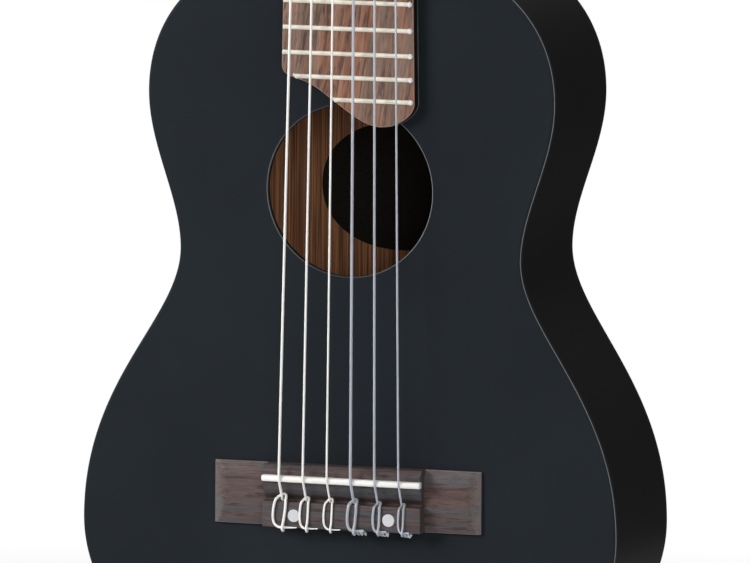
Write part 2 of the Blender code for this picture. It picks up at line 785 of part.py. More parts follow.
def string_x(index, z):
    """Distance of a string from the centre line, from the spread at the nut to that at the saddle."""
    spread = NUT_SPREAD + (SADDLE_SPREAD - NUT_SPREAD) * z / SADDLE_Z
    return (index / 5 - 0.5) * spread


def make_nut():
    low, top = SEAT_GAP, NUT_HEIGHT
    crest = top - NUT_BACK_DROP
    outline = [
        (low, 0), (top - NUT_ROUND, 0), (top, NUT_ROUND), (top, 2 * NUT_ROUND),
        (crest, NUT_THICKNESS - NUT_ROUND), (crest - NUT_ROUND, NUT_THICKNESS), (low, NUT_THICKNESS),
    ]
    mesh, matrix = profile_bar("nut", outline, NUT_WIDTH)
    nut = add_piece("nut", mesh, finish("nut", (0.88, 0.86, 0.8), 0.35), matrix)
    floor = STRING_REST_AT_NUT - SLOT_DEPTH_CLEARANCE
    slot = [
        (floor, -OVERCUT), (floor, NUT_THICKNESS / 2), (floor - NUT_SLOT_FALL, NUT_THICKNESS + OVERCUT),
        (NUT_HEIGHT + OVERCUT, NUT_THICKNESS + OVERCUT), (NUT_HEIGHT + OVERCUT, -OVERCUT),
    ]
    for index, diameter in enumerate(STRING_DIAMETERS):
        width = diameter + 2 * NUT_SLOT_CLEARANCE
        name = f"string_slot_{index}"
        mesh, matrix = profile_bar(name, slot, width, string_x(index, 0))
        cut(nut, add_cutter(name, mesh, matrix))
    return nut


# Bridge

def make_bridge():
    """Wings with bevelled ends, a raised middle with the saddle's slot, a channel and a tie block."""
    bridge = add_piece("bridge", loft_mesh("bridge", wing_rings()), finish("bridge", (0.13, 0.085, 0.07), 0.5))
    mesh, matrix = profile_bar("bridge_block", block_section(), BLOCK_LENGTH)
    join(bridge, add_cutter("bridge_block", mesh, matrix))
    wide = SADDLE_THICKNESS / 2 + TANG_CLEARANCE
    low = (-BLOCK_LENGTH, -SADDLE_TOP, SADDLE_Z - wide)
    high = (BLOCK_LENGTH, -SADDLE_SLOT_FLOOR, SADDLE_Z + wide)
    slot = box_mesh("saddle_slot", low, high)
    cut(bridge, add_cutter("saddle_slot", slot))
    for index in range(len(STRING_DIAMETERS)):
        x = string_x(index, TIE_FRONT)
        start = (x, -TIE_HOLE_HEIGHT, TIE_FRONT + OVERCUT)
        end = (x, -TIE_HOLE_HEIGHT, BRIDGE_BOTTOM - OVERCUT)
        name = f"tie_hole_{index}"
        cut(bridge, add_cutter(name, rod_mesh(name, TIE_HOLE_RADIUS, start, end, 10)))
    for side in (-1, 1):
        cut(bridge, bolt_hole(f"bridge_bolt_hole_{side}", side))
        cut(bridge, dot_recess(side))
    return bridge


def wing_rings():
    """Arched cross sections of the bridge's base from the bass end to the treble end."""
    middle = (BRIDGE_TOP + BRIDGE_BOTTOM) / 2
    half = BRIDGE_WIDTH / 2
    end = BRIDGE_LENGTH / 2
    rings = []
    for x, share in ((-end, 0), (-end + WING_END_BEVEL, 1), (end - WING_END_BEVEL, 1), (end, 0)):
        edge = WING_END_HEIGHT + (WING_EDGE_HEIGHT - WING_END_HEIGHT) * share
        crown = WING_END_HEIGHT + (WING_CROWN_HEIGHT - WING_END_HEIGHT) * share + WING_END_ARCH
        ring = [(x, -SEAT_GAP, middle - half), (x, -SEAT_GAP, middle + half)]
        for place in (1, 0.75, 0.4, -0.4, -0.75, -1):
            ring.append((x, -(edge + (crown - edge) * (1 - place * place)), middle + half * place))
        rings.append(ring)
    return rings


def block_section():
    """Cross section of the bridge's middle, as (height above the soundboard, z)."""
    base = SEAT_GAP
    wall = SADDLE_THICKNESS / 2 + TANG_CLEARANCE + SADDLE_WALL
    return [
        (base, BRIDGE_TOP),
        (BLOCK_LIP_HEIGHT, BRIDGE_TOP),
        (SADDLE_WALL_HEIGHT, SADDLE_Z + wall),
        (SADDLE_WALL_HEIGHT, SADDLE_Z - wall),
        (CHANNEL_FLOOR + CHANNEL_FILLET, SADDLE_Z - CHANNEL_DISTANCE + CHANNEL_FILLET),
        (CHANNEL_FLOOR, SADDLE_Z - CHANNEL_DISTANCE),
        (CHANNEL_FLOOR, TIE_FRONT),
        (TIE_BLOCK_HEIGHT - TIE_FRONT_BEVEL, TIE_FRONT),
        (TIE_BLOCK_HEIGHT, TIE_FRONT - TIE_FRONT_BEVEL),
        (TIE_BLOCK_HEIGHT, BRIDGE_BOTTOM + TIE_BACK_BEVEL),
        (TIE_BLOCK_HEIGHT - TIE_BACK_BEVEL, BRIDGE_BOTTOM),
        (base, BRIDGE_BOTTOM),
    ]


def make_saddle():
    half, low = SADDLE_THICKNESS / 2, SADDLE_SLOT_FLOOR + SEAT_GAP
    shoulder = SADDLE_TOP - SADDLE_SHOULDER
    beside = SADDLE_TOP - SADDLE_CREST_DROP
    outline = [
        (low, SADDLE_Z - half), (shoulder, SADDLE_Z - half), (beside, SADDLE_Z - half / 2),
        (SADDLE_TOP, SADDLE_Z), (beside, SADDLE_Z + half / 2),
        (shoulder, SADDLE_Z + half), (low, SADDLE_Z + half),
    ]
    mesh, matrix = profile_bar("saddle", outline, SADDLE_LENGTH)
    return add_piece("saddle", mesh, finish("saddle", (0.9, 0.89, 0.84), 0.35), matrix)


def bridge_plate_corners():
    middle = (BRIDGE_TOP + BRIDGE_BOTTOM) / 2
    front = SOUNDBOARD_THICKNESS + SEAT_GAP
    low = Vector((-BRIDGE_PLATE_LENGTH / 2, front, middle - BRIDGE_PLATE_WIDTH / 2))
    high = Vector((BRIDGE_PLATE_LENGTH / 2, front + BRIDGE_PLATE_THICKNESS, middle + BRIDGE_PLATE_WIDTH / 2))
    return low, high


def make_bridge_plate():
    low, high = bridge_plate_corners()
    pale_wood = finish("bridge_plate", (0.6, 0.42, 0.24), 0.6)
    patch = add_piece("bridge_plate", box_mesh("bridge_plate", low, high), pale_wood)
    for side in (-1, 1):
        cut(patch, bolt_hole(f"patch_bolt_hole_{side}", side))
    return patch


def bolt_hole(name, side):
    """A through hole for a bridge bolt, from above the bridge to inside the body."""
    x = side * BOLT_SPACING / 2
    radius = BOLT_RADIUS + RUNNING_GAP
    start, end = (x, -TIE_BLOCK_HEIGHT - OVERCUT, BOLT_Z), (x, BOLT_HOLE_DEPTH, BOLT_Z)
    return add_cutter(name, rod_mesh(name, radius, start, end, 12))


def bolt_seat():
    """Height of the floor under a bolt's head: the head and the dot fill the recess above it."""
    return TIE_BLOCK_HEIGHT - DOT_THICKNESS - BOLT_HEAD_HEIGHT - 2 * SEAT_GAP


def dot_recess(side):
    x = side * BOLT_SPACING / 2
    name = f"dot_recess_{side}"
    radius = max(DOT_RADIUS, BOLT_HEAD_RADIUS) + TANG_CLEARANCE
    start, end = (x, -TIE_BLOCK_HEIGHT - OVERCUT, BOLT_Z), (x, -bolt_seat(), BOLT_Z)
    return add_cutter(name, rod_mesh(name, radius, start, end, 16))


def make_bolt(name, side):
    """A bolt down through the bridge, soundboard and bridge plate, with its washer and nut."""
    x = side * BOLT_SPACING / 2
    head_low = bolt_seat() + SEAT_GAP
    inside = bridge_plate_corners()[1].y + SEAT_GAP
    nut_end = inside + WASHER_THICKNESS + BOLT_NUT_HEIGHT
    end = nut_end + 2 * BOLT_RADIUS
    profile = [
        (0, head_low + BOLT_HEAD_HEIGHT), (BOLT_HEAD_RADIUS, head_low + BOLT_HEAD_HEIGHT),
        (BOLT_HEAD_RADIUS, head_low), (BOLT_RADIUS, head_low), (BOLT_RADIUS, -inside),
        (WASHER_RADIUS, -inside), (WASHER_RADIUS, -inside - WASHER_THICKNESS),
        (BOLT_RADIUS, -inside - WASHER_THICKNESS), (BOLT_RADIUS, -end), (0, -end),
    ]
    place = Matrix.Translation((x, 0, BOLT_Z)) @ FRONT_TO_Z
    mesh = turned_mesh(name, profile, 12)
    bolt = add_piece(name, mesh, finish(name, (0.6, 0.6, 0.6), 0.35, 1.0), place)
    nut_low = (x, inside + WASHER_THICKNESS / 2, BOLT_Z)
    hexagon = rod_mesh(f"{name}_nut", BOLT_NUT_RADIUS, nut_low, (x, nut_end, BOLT_Z), 6)
    join(bolt, add_cutter(f"{name}_nut", hexagon))
    return bolt


def make_dot(name, side):
    """Pearl dot that closes the recess over a bolt's head."""
    top = TIE_BLOCK_HEIGHT + DOT_PROUD
    profile = [
        (0, top), (DOT_RADIUS - DOT_BEVEL, top), (DOT_RADIUS, top - DOT_BEVEL),
        (DOT_RADIUS, top - DOT_THICKNESS), (0, top - DOT_THICKNESS),
    ]
    place = Matrix.Translation((side * BOLT_SPACING / 2, 0, BOLT_Z)) @ FRONT_TO_Z
    mesh = turned_mesh(name, profile, 20)
    shade(mesh)
    return add_piece(name, mesh, finish(name, (0.85, 0.86, 0.86), 0.25), place)


# Neck

def head_direction():
    return Vector((0, math.sin(HEAD_ANGLE), math.cos(HEAD_ANGLE)))


def head_front(z):
    """Depth of the headstock's face at a height."""
    return max(0, z - NUT_THICKNESS) * math.tan(HEAD_ANGLE)


def head_outline():
    """Half width of the headstock against height, from the nut to its crest."""
    low = (HEAD_WIDTH_LOW / 2, NUT_THICKNESS + HEAD_LOW_RISE)
    high = (HEAD_WIDTH_HIGH / 2, HEAD_LENGTH - HEAD_SHOULDER_DROP)
    top = (HEAD_WIDTH_HIGH * 0.05, HEAD_LENGTH)
    rise = HEAD_LOW_RISE * 0.5
    anchors = [
        ((NUT_WIDTH / 2, NUT_THICKNESS), None, (NUT_WIDTH / 2, NUT_THICKNESS + rise * 0.5)),
        (low, (low[0], low[1] - rise * 0.8), (low[0], low[1] + rise)),
        (high, (high[0], high[1] - rise), (high[0], high[1] + HEAD_SHOULDER_DROP * 0.65)),
        (top, (top[0] + HEAD_WIDTH_HIGH * 0.3, top[1] - HEAD_SHOULDER_DROP * 0.1), None),
    ]
    return bezier_line(anchors, 6)


def neck_ring(z, half_width, front, depth, power, cap=None):
    """A D shaped ring: a flat front and a rounded back, squarer as the power grows."""
    count = 16
    ring = []
    for i in range(count + 1):
        turn = math.pi * i / count
        across, deep = math.cos(turn), math.sin(turn)
        x = half_width * math.copysign(abs(across) ** (2 / power), across)
        y = front + depth * max(deep, 0) ** (2 / power)
        if cap is not None:
            y = min(y, cap)
        ring.append((x, y, z))
    return ring


def neck_rings():
    rings = []
    slab = HEAD_THICKNESS / math.cos(HEAD_ANGLE)
    blend_end = NUT_THICKNESS + HEAD_LOW_RISE * 0.45
    for half_width, z in reversed(head_outline()):
        share = max(0, min(1, (z - NUT_THICKNESS) / (blend_end - NUT_THICKNESS)))
        depth = NECK_DEPTH_AT_NUT + (slab - NECK_DEPTH_AT_NUT) * share
        power = PALM_POWER + (HEAD_POWER - PALM_POWER) * share ** 1.5
        rings.append(neck_ring(z, half_width, head_front(z), depth, power))
    heel_top = BODY_TOP + HEEL_LENGTH
    for share in (0.02, 0.35, 0.7, 1):
        z = heel_top * share
        depth = NECK_DEPTH_AT_NUT + (NECK_DEPTH_AT_HEEL - NECK_DEPTH_AT_NUT) * share
        rings.append(neck_ring(z, board_half_width(z), 0, depth, PALM_POWER))
    heel_depth = BODY_DEPTH * HEEL_REACH
    cap = BODY_DEPTH - HEEL_CAP_INSET
    curve_length = HEEL_LENGTH - HEEL_CAP_LENGTH
    for step in range(1, 9):
        share = math.sin(math.pi / 2 * step / 8)
        swell = 1 - math.cos(math.pi / 2 * step / 8)
        z = heel_top - curve_length * share
        depth = NECK_DEPTH_AT_HEEL + (heel_depth - NECK_DEPTH_AT_HEEL) * swell
        power = PALM_POWER + (HEEL_POWER - PALM_POWER) * swell
        rings.append(neck_ring(z, board_half_width(z), 0, depth, power, cap))
    inside = BODY_TOP - HEEL_CAP_LENGTH
    rings.append(neck_ring(inside, board_half_width(inside), 0, heel_depth, HEEL_POWER, cap))
    return rings


def make_neck():
    """Neck with its carved heel and its tenon, and the headstock drilled for the posts."""
    mesh = loft_mesh("neck", neck_rings())
    shade(mesh, 35)
    neck = add_piece("neck", mesh, black_satin("neck"))
    body = flat_mesh("body_shape", [full_outline(SEAT_GAP)], 2 * BODY_DEPTH)
    cut(neck, add_cutter("body_shape", body, facing(-BODY_DEPTH / 2, 3 * BODY_DEPTH / 2)))
    low = (-TENON_WIDTH / 2, TENON_INSET, BODY_TOP - TENON_LENGTH)
    high = (TENON_WIDTH / 2, TENON_INSET + TENON_DEPTH, BODY_TOP + HEEL_CAP_LENGTH / 2)
    join(neck, add_cutter("tenon", box_mesh("tenon", low, high)))
    for tuner in range(6):
        place = tuner_matrix(tuner)
        name = f"peg_hole_{tuner + 1}"
        hole = rod_mesh(
            name, BUSHING_RADIUS + SEAT_GAP, (0, 0, HEAD_THICKNESS), (0, 0, -2 * HEAD_THICKNESS), 16
        )
        cut(neck, add_cutter(name, hole, place))
    return neck


# Tuning machines

def tuner_side(tuner):
    """Tuners 1 to 3 are on the treble side and 4 to 6 on the bass side, as their strings are."""
    return 1 if tuner < 3 else -1


def tuner_rise(tuner):
    """Distance of a post from the nut, along the headstock's face."""
    place = tuner if tuner < 3 else 5 - tuner
    return FIRST_POST_RISE + place * POST_SPACING


def tuner_matrix(tuner):
    """Frame of a tuner: on the headstock's face at the post, Z out of the face and Y up the head."""
    start = Vector((tuner_side(tuner) * POST_OFFSET, 0, NUT_THICKNESS))
    middle = start + head_direction() * tuner_rise(tuner)
    return Matrix.Translation(middle) @ Matrix.Rotation(math.radians(90) - HEAD_ANGLE, 4, "X")


def make_tuner(tuner):
    """Housing with its bushing, post with its gear and winding, and button with its worm."""
    frame = bpy.data.objects.new(f"tuner_frame_{tuner + 1}", None)
    PIECES.objects.link(frame)
    frame.matrix_world = tuner_matrix(tuner)
    bpy.context.view_layer.update()
    side = tuner_side(tuner)
    make_housing(frame, tuner, side)
    make_post(frame, tuner)
    make_button(frame, tuner, side)


def set_parent(piece, frame, local=None):
    """Hang a piece on a tuner's frame, at a place in that frame."""
    piece.parent = frame
    piece.matrix_basis = Matrix.Identity(4) if local is None else local


def make_housing(frame, tuner, side):
    """Covered gear case behind the head, and the bushing that reaches through to its face."""
    name = f"tuner_{tuner + 1}_housing"
    outline = rounded_box(-CASE_HALF_WIDTH, -CASE_LOW, CASE_HALF_WIDTH, CASE_HIGH, CASE_CORNER, 2)
    mesh = flat_mesh(name, [outline], CASE_HEIGHT)
    move_mesh(mesh, (0, 0, GEAR_LEVEL))
    mark_round_edges(mesh, CASE_TOP - CASE_HEIGHT)
    case = add_piece(name, mesh, chrome(name))
    set_parent(case, frame)
    round_rim(case, CASE_BEVEL)
    inside = -HEAD_THICKNESS - CASE_WALL
    front = BUSHING_FLANGE_HEIGHT + SEAT_GAP
    bushing = [
        (0, front), (BUSHING_RADIUS, front), (BUSHING_FLANGE_RADIUS, front - BUSHING_BEVEL),
        (BUSHING_FLANGE_RADIUS, SEAT_GAP), (BUSHING_RADIUS, SEAT_GAP), (BUSHING_RADIUS, inside), (0, inside),
    ]
    add_to_tuner(case, frame, f"{name}_bushing", turned_mesh(f"{name}_bushing", bushing, 12), join)
    half = CAVITY_HEIGHT / 2
    gear_room = rod_mesh(
        f"{name}_gear_room", GEAR_CAVITY_RADIUS, (0, 0, GEAR_LEVEL - half), (0, 0, GEAR_LEVEL + half), 12
    )
    add_to_tuner(case, frame, f"{name}_gear_room", gear_room, cut)
    reach = GEAR_CAVITY_RADIUS
    worm_room = rod_mesh(
        f"{name}_worm_room", WORM_CAVITY_RADIUS * 1.04,
        (-reach, -WORM_DISTANCE, GEAR_LEVEL), (reach, -WORM_DISTANCE, GEAR_LEVEL), 8,
    )
    add_to_tuner(case, frame, f"{name}_worm_room", worm_room, cut)
    post_room = rod_mesh(
        f"{name}_post_bore", POST_RADIUS + RUNNING_GAP, (0, 0, front + OVERCUT), (0, 0, GEAR_LEVEL), 12
    )
    add_to_tuner(case, frame, f"{name}_post_bore", post_room, cut)
    shaft_room = rod_mesh(
        f"{name}_shaft_bore", WORM_SHAFT_RADIUS + RUNNING_GAP,
        (0, -WORM_DISTANCE, GEAR_LEVEL), (side * (CASE_HALF_WIDTH + OVERCUT), -WORM_DISTANCE, GEAR_LEVEL), 8,
    )
    add_to_tuner(case, frame, f"{name}_shaft_bore", shaft_room, cut)


def add_to_tuner(case, frame, name, mesh, action):
    """Apply a cutter or an addition that is made in a tuner's frame."""
    tool = add_cutter(name, mesh)
    set_parent(tool, frame)
    action(case, tool)


def move_mesh(mesh, offset):
    mesh.transform(Matrix.Translation(offset))


def rounded_box(low_x, low_y, high_x, high_y, radius, steps):
    """Rectangle with round corners, anticlockwise."""
    corners = (
        (high_x - radius, high_y - radius, 0), (low_x + radius, high_y - radius, 90),
        (low_x + radius, low_y + radius, 180), (high_x - radius, low_y + radius, 270),
    )
    outline = []
    for x, y, start in corners:
        for i in range(steps + 1):
            turn = math.radians(start + 90 * i / steps)
            outline.append((x + radius * math.cos(turn), y + radius * math.sin(turn)))
    return outline


def make_post(frame, tuner):
    """String post: waisted for its winding, with a gear at its inner end."""
    name = f"tuner_{tuner + 1}_post"
    bottom = GEAR_LEVEL - GEAR_THICKNESS / 2 - POST_FOOT
    bulge = (WINDING_END - WINDING_START) * 0.18
    profile = [
        (0, POST_HEIGHT), (POST_HEAD_RADIUS - POST_ROUND, POST_HEIGHT),
        (POST_HEAD_RADIUS, POST_HEIGHT - POST_ROUND),
        (POST_HEAD_RADIUS, WINDING_END + 1.5 * POST_ROUND), (POST_WAIST_RADIUS, WINDING_END + POST_ROUND / 2),
        (WINDING_RADIUS * 0.9, WINDING_END), (WINDING_RADIUS, WINDING_END - bulge),
        (WINDING_RADIUS, WINDING_START + bulge), (WINDING_RADIUS * 0.9, WINDING_START),
        (POST_RADIUS, WINDING_START), (POST_RADIUS, bottom), (0, bottom),
    ]
    mesh = turned_mesh(name, profile, 12)
    shade(mesh)
    post = add_piece(name, mesh, chrome(name))
    set_parent(post, frame)
    add_to_tuner(post, frame, f"{name}_gear", gear_mesh(f"{name}_gear"), join)


def gear_mesh(name):
    """Helical gear whose teeth lean by the worm's lead angle, centred on its own level."""
    lean = math.atan(WORM_LEAD / (2 * math.pi * WORM_RADIUS))
    rings = []
    for end in (-1, 1):
        twist = end * GEAR_THICKNESS / 2 * math.tan(lean) / GEAR_RADIUS
        ring = []
        for tooth in range(GEAR_TEETH):
            start = 2 * math.pi * tooth / GEAR_TEETH + twist - math.pi / 2
            pitch = 2 * math.pi / GEAR_TEETH
            for share, radius in (
                (-0.3, GEAR_RADIUS - TOOTH_DEDENDUM), (-0.07, GEAR_RADIUS + TOOTH_ADDENDUM),
                (0.07, GEAR_RADIUS + TOOTH_ADDENDUM), (0.3, GEAR_RADIUS - TOOTH_DEDENDUM),
            ):
                turn = start + share * pitch
                ring.append((
                    radius * math.cos(turn), radius * math.sin(turn), GEAR_LEVEL + end * GEAR_THICKNESS / 2
                ))
        rings.append(ring)
    return loft_mesh(name, rings)


def worm_rings(steps_round, steps_per_lead):
    """Rings of a single start thread along Z, with the middle of a groove on the gear's side."""
    count = int(round(WORM_LENGTH / WORM_LEAD * steps_per_lead))
    rings = []
    for i in range(count + 1):
        z = -WORM_LENGTH / 2 + WORM_LENGTH * i / count
        at_end = i in (0, count)
        ring = []
        for j in range(steps_round):
            turn = 2 * math.pi * j / steps_round
            phase = z / WORM_LEAD - turn / (2 * math.pi) + 0.25
            crest = max(-1, min(1, 2.2 * math.cos(2 * math.pi * (phase - 0.5))))
            radius = WORM_SHAFT_RADIUS if at_end else WORM_RADIUS + THREAD_HEIGHT * crest
            ring.append((radius * math.cos(turn), radius * math.sin(turn), z))
        rings.append(ring)
    return rings


def make_button(frame, tuner, side):
    """Worm, shaft and an oval button with a dished face, all turning about the shaft's axis."""
    name = f"tuner_{tuner + 1}_button"
    steps = 8
    rings = worm_rings(steps, 6)
    shaft_end = CASE_HALF_WIDTH + BUTTON_STANDOFF
    collar = CASE_HALF_WIDTH + RUNNING_GAP
    shaft = (
        (WORM_SHAFT_RADIUS, WORM_SHAFT_RADIUS, collar), (COLLAR_RADIUS, COLLAR_RADIUS, collar),
        (COLLAR_RADIUS, COLLAR_RADIUS, collar + COLLAR_LENGTH),
        (WORM_SHAFT_RADIUS, WORM_SHAFT_RADIUS, collar + 1.5 * COLLAR_LENGTH),
        (WORM_SHAFT_RADIUS, WORM_SHAFT_RADIUS, shaft_end),
    )
    wide, thick = BUTTON_WIDTH / 2, BUTTON_THICKNESS / 2
    button = (
        (wide * 0.34, thick * 0.62, shaft_end + 0.6 * MM),
        (wide * 0.62, thick * 0.8, shaft_end + BUTTON_LENGTH * 0.18),
        (wide * 0.94, thick * 0.9, shaft_end + BUTTON_LENGTH * 0.45),
        (wide, thick * 0.96, shaft_end + BUTTON_LENGTH * 0.68),
        (wide * 0.9, thick * 0.88, shaft_end + BUTTON_LENGTH * 0.87),
        (wide * 0.6, thick * 0.6, shaft_end + BUTTON_LENGTH),
    )
    for across, deep, z in shaft + button:
        turns = [2 * math.pi * j / steps for j in range(steps)]
        rings.append([(across * math.cos(turn), deep * math.sin(turn), z) for turn in turns])
    mesh = loft_mesh(name, rings)
    shade(mesh, 40)
    outward = Matrix.Rotation(math.radians(90 * side), 4, "Y")
    local = Matrix.Translation((0, -WORM_DISTANCE, GEAR_LEVEL)) @ outward
    button_piece = add_piece(name, mesh, chrome(name))
    set_parent(button_piece, frame, local)


# Strings

def string_route(index):
    """Points of one string, in world space: from its post to the saddle, and those of its tie."""
    diameter = STRING_DIAMETERS[index]
    radius = diameter / 2
    tuner = 5 - index
    side = tuner_side(tuner)
    place = tuner_matrix(tuner)
    winding = (WINDING_START + WINDING_END) / 2
    beside = -side * (WINDING_RADIUS + RUNNING_GAP + radius)
    points = [place @ Vector((beside, 0, winding))]
    rest = STRING_REST_AT_NUT + radius
    saddle = SADDLE_TOP + SEAT_GAP + radius
    x = string_x(index, 0)
    points += [Vector((x, -rest, NUT_THICKNESS * 0.5)), Vector((x, -rest, 0))]
    x = string_x(index, SADDLE_Z)
    points += [Vector((x, -saddle, SADDLE_Z + 0.4 * MM))]
    return points, tie_route(x, radius, saddle, TIE_BULGES[index], TIE_TAILS[index])


def tie_route(x, radius, saddle, bulge, tail):
    """The tie: through the block, up behind it, forward under the string, and back with the tail tucked in."""
    away = radius + SEAT_GAP
    step = 2 * radius + SEAT_GAP
    top = TIE_BLOCK_HEIGHT + away
    rear = BRIDGE_BOTTOM - away
    tuck = BRIDGE_BOTTOM + 0.5 * MM
    hole = TIE_HOLE_HEIGHT
    right = x + step * 0.75
    left = x - step * 0.75
    under = TIE_CROSSING_HEIGHT - step * 1.25
    bend = 1 * MM
    behind = min(rear, tuck - step)
    ahead = TIE_FRONT + TIE_CROSSING_DISTANCE
    over_edge = TIE_FRONT + away * 0.9
    route = [
        (x, saddle - 0.1 * MM, SADDLE_Z - 0.4 * MM),
        (x, TIE_CROSSING_HEIGHT, ahead),
        (x, hole + 0.9 * MM, TIE_FRONT + 0.5 * MM),
        (x, hole, TIE_FRONT - 0.9 * MM),
        (x, hole, behind + 3 * bend),
        (x, hole, behind + bend),
        (x, hole + bend * 0.3, behind + bend * 0.3),
        (x, hole + bend, behind),
        (x + step * 0.2, top, behind),
        (x + step * 0.3, top + step * 0.8, tuck - step * 0.6),
        (x + step * 0.3, top + step, tuck),
        (x + step * 0.4, top + step * 0.6, tuck + step),
        (x + step * 0.5, top, tuck + step * 2.2),
        (right, top, TIE_FRONT - 1.5 * MM),
        (right, top - away * 0.6, over_edge),
        (x + step * 0.85, under + step * 0.6, ahead + 0.4 * step),
        (x, under, ahead + 0.6 * step),
        (x - step * 0.85, under + step * 0.6, ahead + 0.4 * step),
        (left, top - away * 0.6, over_edge),
        (left - 0.3 * MM, top, TIE_FRONT - 1.2 * MM),
        (left - (bulge - step) * 0.7, top, TIE_FRONT - 3.6 * MM),
        (x - bulge, top, TIE_FRONT - 6.2 * MM),
        (x - bulge * 0.85, top, TIE_FRONT - 8.8 * MM),
        (x - bulge * 0.45, top, tuck + step * 0.35),
        (x + step * 0.3, top, tuck),
        (x + tail * 0.6, top, tuck),
        (x + tail, top, tuck + 0.2 * MM),
    ]
    return [Vector((across, -height, z)) for across, height, z in route]


def smooth_line(points, steps):
    """A rounded line through points: each stretch is a Catmull Rom curve."""
    line = []
    padded = [points[0]] + list(points) + [points[-1]]
    for a, b, c, d in zip(padded, padded[1:], padded[2:], padded[3:]):
        for i in range(steps):
            t = i / steps
            line.append(0.5 * (
                2 * b + (c - a) * t + (2 * a - 5 * b + 4 * c - d) * t * t + (3 * b - 3 * c + d - a) * t ** 3
            ))
    return line + [points[-1]]


def make_string(index):
    """A taut string as a wire along its route: straight over the neck, rounded at its tie."""
    name = f"string_{6 - index}"
    straight, tie = string_route(index)
    points = straight + smooth_line(tie, 2)
    curve = bpy.data.curves.new(name, "CURVE")
    curve.dimensions = "3D"
    curve.bevel_depth = STRING_DIAMETERS[index] / 2
    curve.bevel_resolution = 1
    curve.use_fill_caps = True
    spline = curve.splines.new("POLY")
    spline.points.add(len(points) - 1)
    for point, place in zip(spline.points, points):
        point.co = (*place, 1)
    wire = bpy.data.objects.new(name, curve)
    PIECES.objects.link(wire)
    wound = index < 3
    color = (0.78, 0.76, 0.72) if wound else (0.75, 0.76, 0.8)
    curve.materials.append(finish(name, color, 0.3, 1.0 if wound else 0.0))


def build():
    """Make every piece of the instrument."""
    make_soundboard()
    make_back()
    make_rib("rib_treble", 1)
    make_rib("rib_bass", -1)
    make_neck_block()
    make_tail_block()
    make_soundboard_brace("upper_brace", UPPER_BRACE_DROP)
    make_soundboard_brace("lower_brace", LOWER_BRACE_DROP)
    make_bridge_plate()
    make_neck()
    make_fingerboard()
    make_frets()
    make_nut()
    make_bridge()
    make_saddle()
    for side, word in ((-1, "bass"), (1, "treble")):
        make_bolt(f"bridge_bolt_{word}", side)
        make_dot(f"bridge_dot_{word}", side)
    for tuner in range(6):
        make_tuner(tuner)
    for index in range(len(STRING_DIAMETERS)):
        make_string(index)


clear_scene()
PIECES, CUTTERS = make_collections()
build()
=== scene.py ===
"""Dresses a six string guitalele: fine surfaces with wood, lacquer, nylon and metal finishes.

Units are metres. X points to the treble side, Z up the neck and Y to the back: the soundboard's face
lies in the plane y = 0, and the nut's front edge is at z = 0.
"""

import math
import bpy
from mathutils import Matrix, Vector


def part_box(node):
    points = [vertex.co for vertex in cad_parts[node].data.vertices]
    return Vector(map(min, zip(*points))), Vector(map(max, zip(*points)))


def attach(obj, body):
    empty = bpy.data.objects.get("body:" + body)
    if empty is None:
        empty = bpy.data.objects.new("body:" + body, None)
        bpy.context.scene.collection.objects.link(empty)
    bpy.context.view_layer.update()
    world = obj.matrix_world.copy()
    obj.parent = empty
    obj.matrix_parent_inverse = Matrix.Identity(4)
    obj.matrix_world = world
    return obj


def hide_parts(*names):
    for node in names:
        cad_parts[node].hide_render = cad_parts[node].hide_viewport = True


bl_info = {
    "name": "Guitalele Dresser",
    "version": (1, 0, 0),
    "blender": (4, 5, 0),
    "location": "View3D > Sidebar > Guitalele",
    "description": "Fine surfaces and finishes for a small nylon string guitar",
    "category": "Add Mesh",
}

import bpy
import numpy as np
from bpy.props import FloatProperty, FloatVectorProperty, PointerProperty

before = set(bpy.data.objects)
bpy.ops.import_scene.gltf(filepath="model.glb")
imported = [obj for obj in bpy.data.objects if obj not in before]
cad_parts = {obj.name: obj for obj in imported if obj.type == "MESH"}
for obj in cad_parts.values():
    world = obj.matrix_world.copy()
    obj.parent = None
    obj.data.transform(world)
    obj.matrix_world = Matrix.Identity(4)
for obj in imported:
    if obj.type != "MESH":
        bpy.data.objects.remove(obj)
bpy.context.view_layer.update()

MM = 0.001
BODY = "instrument"

# Body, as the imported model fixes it
BODY_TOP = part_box("soundboard")[1].z
BODY_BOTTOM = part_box("soundboard")[0].z
BODY_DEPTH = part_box("back_plate")[1].y
SOUNDHOLE_Z = -317.2 * MM
SOUNDHOLE_RADIUS = 35.2 * MM
PLATE_THICKNESS = 2.75 * MM
INSIDE_DEPTH = BODY_DEPTH - PLATE_THICKNESS
RIB_THICKNESS = 2 * MM
LINING_DEPTH = 4 * MM
LINING_HEIGHT = 10 * MM
LINING_TAPER = 4 * MM
LINING_GAP = 1.3 * MM
NECK_BLOCK_HALF = 29.3 * MM
TAIL_BLOCK_HALF = 32.3 * MM
BLOCK_REACH = 60 * MM
TENON_HALF = 8.3 * MM
STRUT_COUNT = 5
STRUT_HALF = 2.5 * MM
STRUT_HEIGHT = 5 * MM
STRUT_SCOOP = 0.14
BACK_BRACE_DROPS = (46 * MM, 160 * MM, 258 * MM)
BRACE_WIDTH = 8 * MM
BACK_BRACE_HEIGHT = 11 * MM
BRACE_END_HEIGHT = 5 * MM
BRACE_SCOOP = 0.28
GLUE_SINK = 0.2 * MM
LABEL_CENTRE = np.array([0.5 * MM, -322 * MM])
LABEL_HALVES = (35.2 * MM, 26.6 * MM)

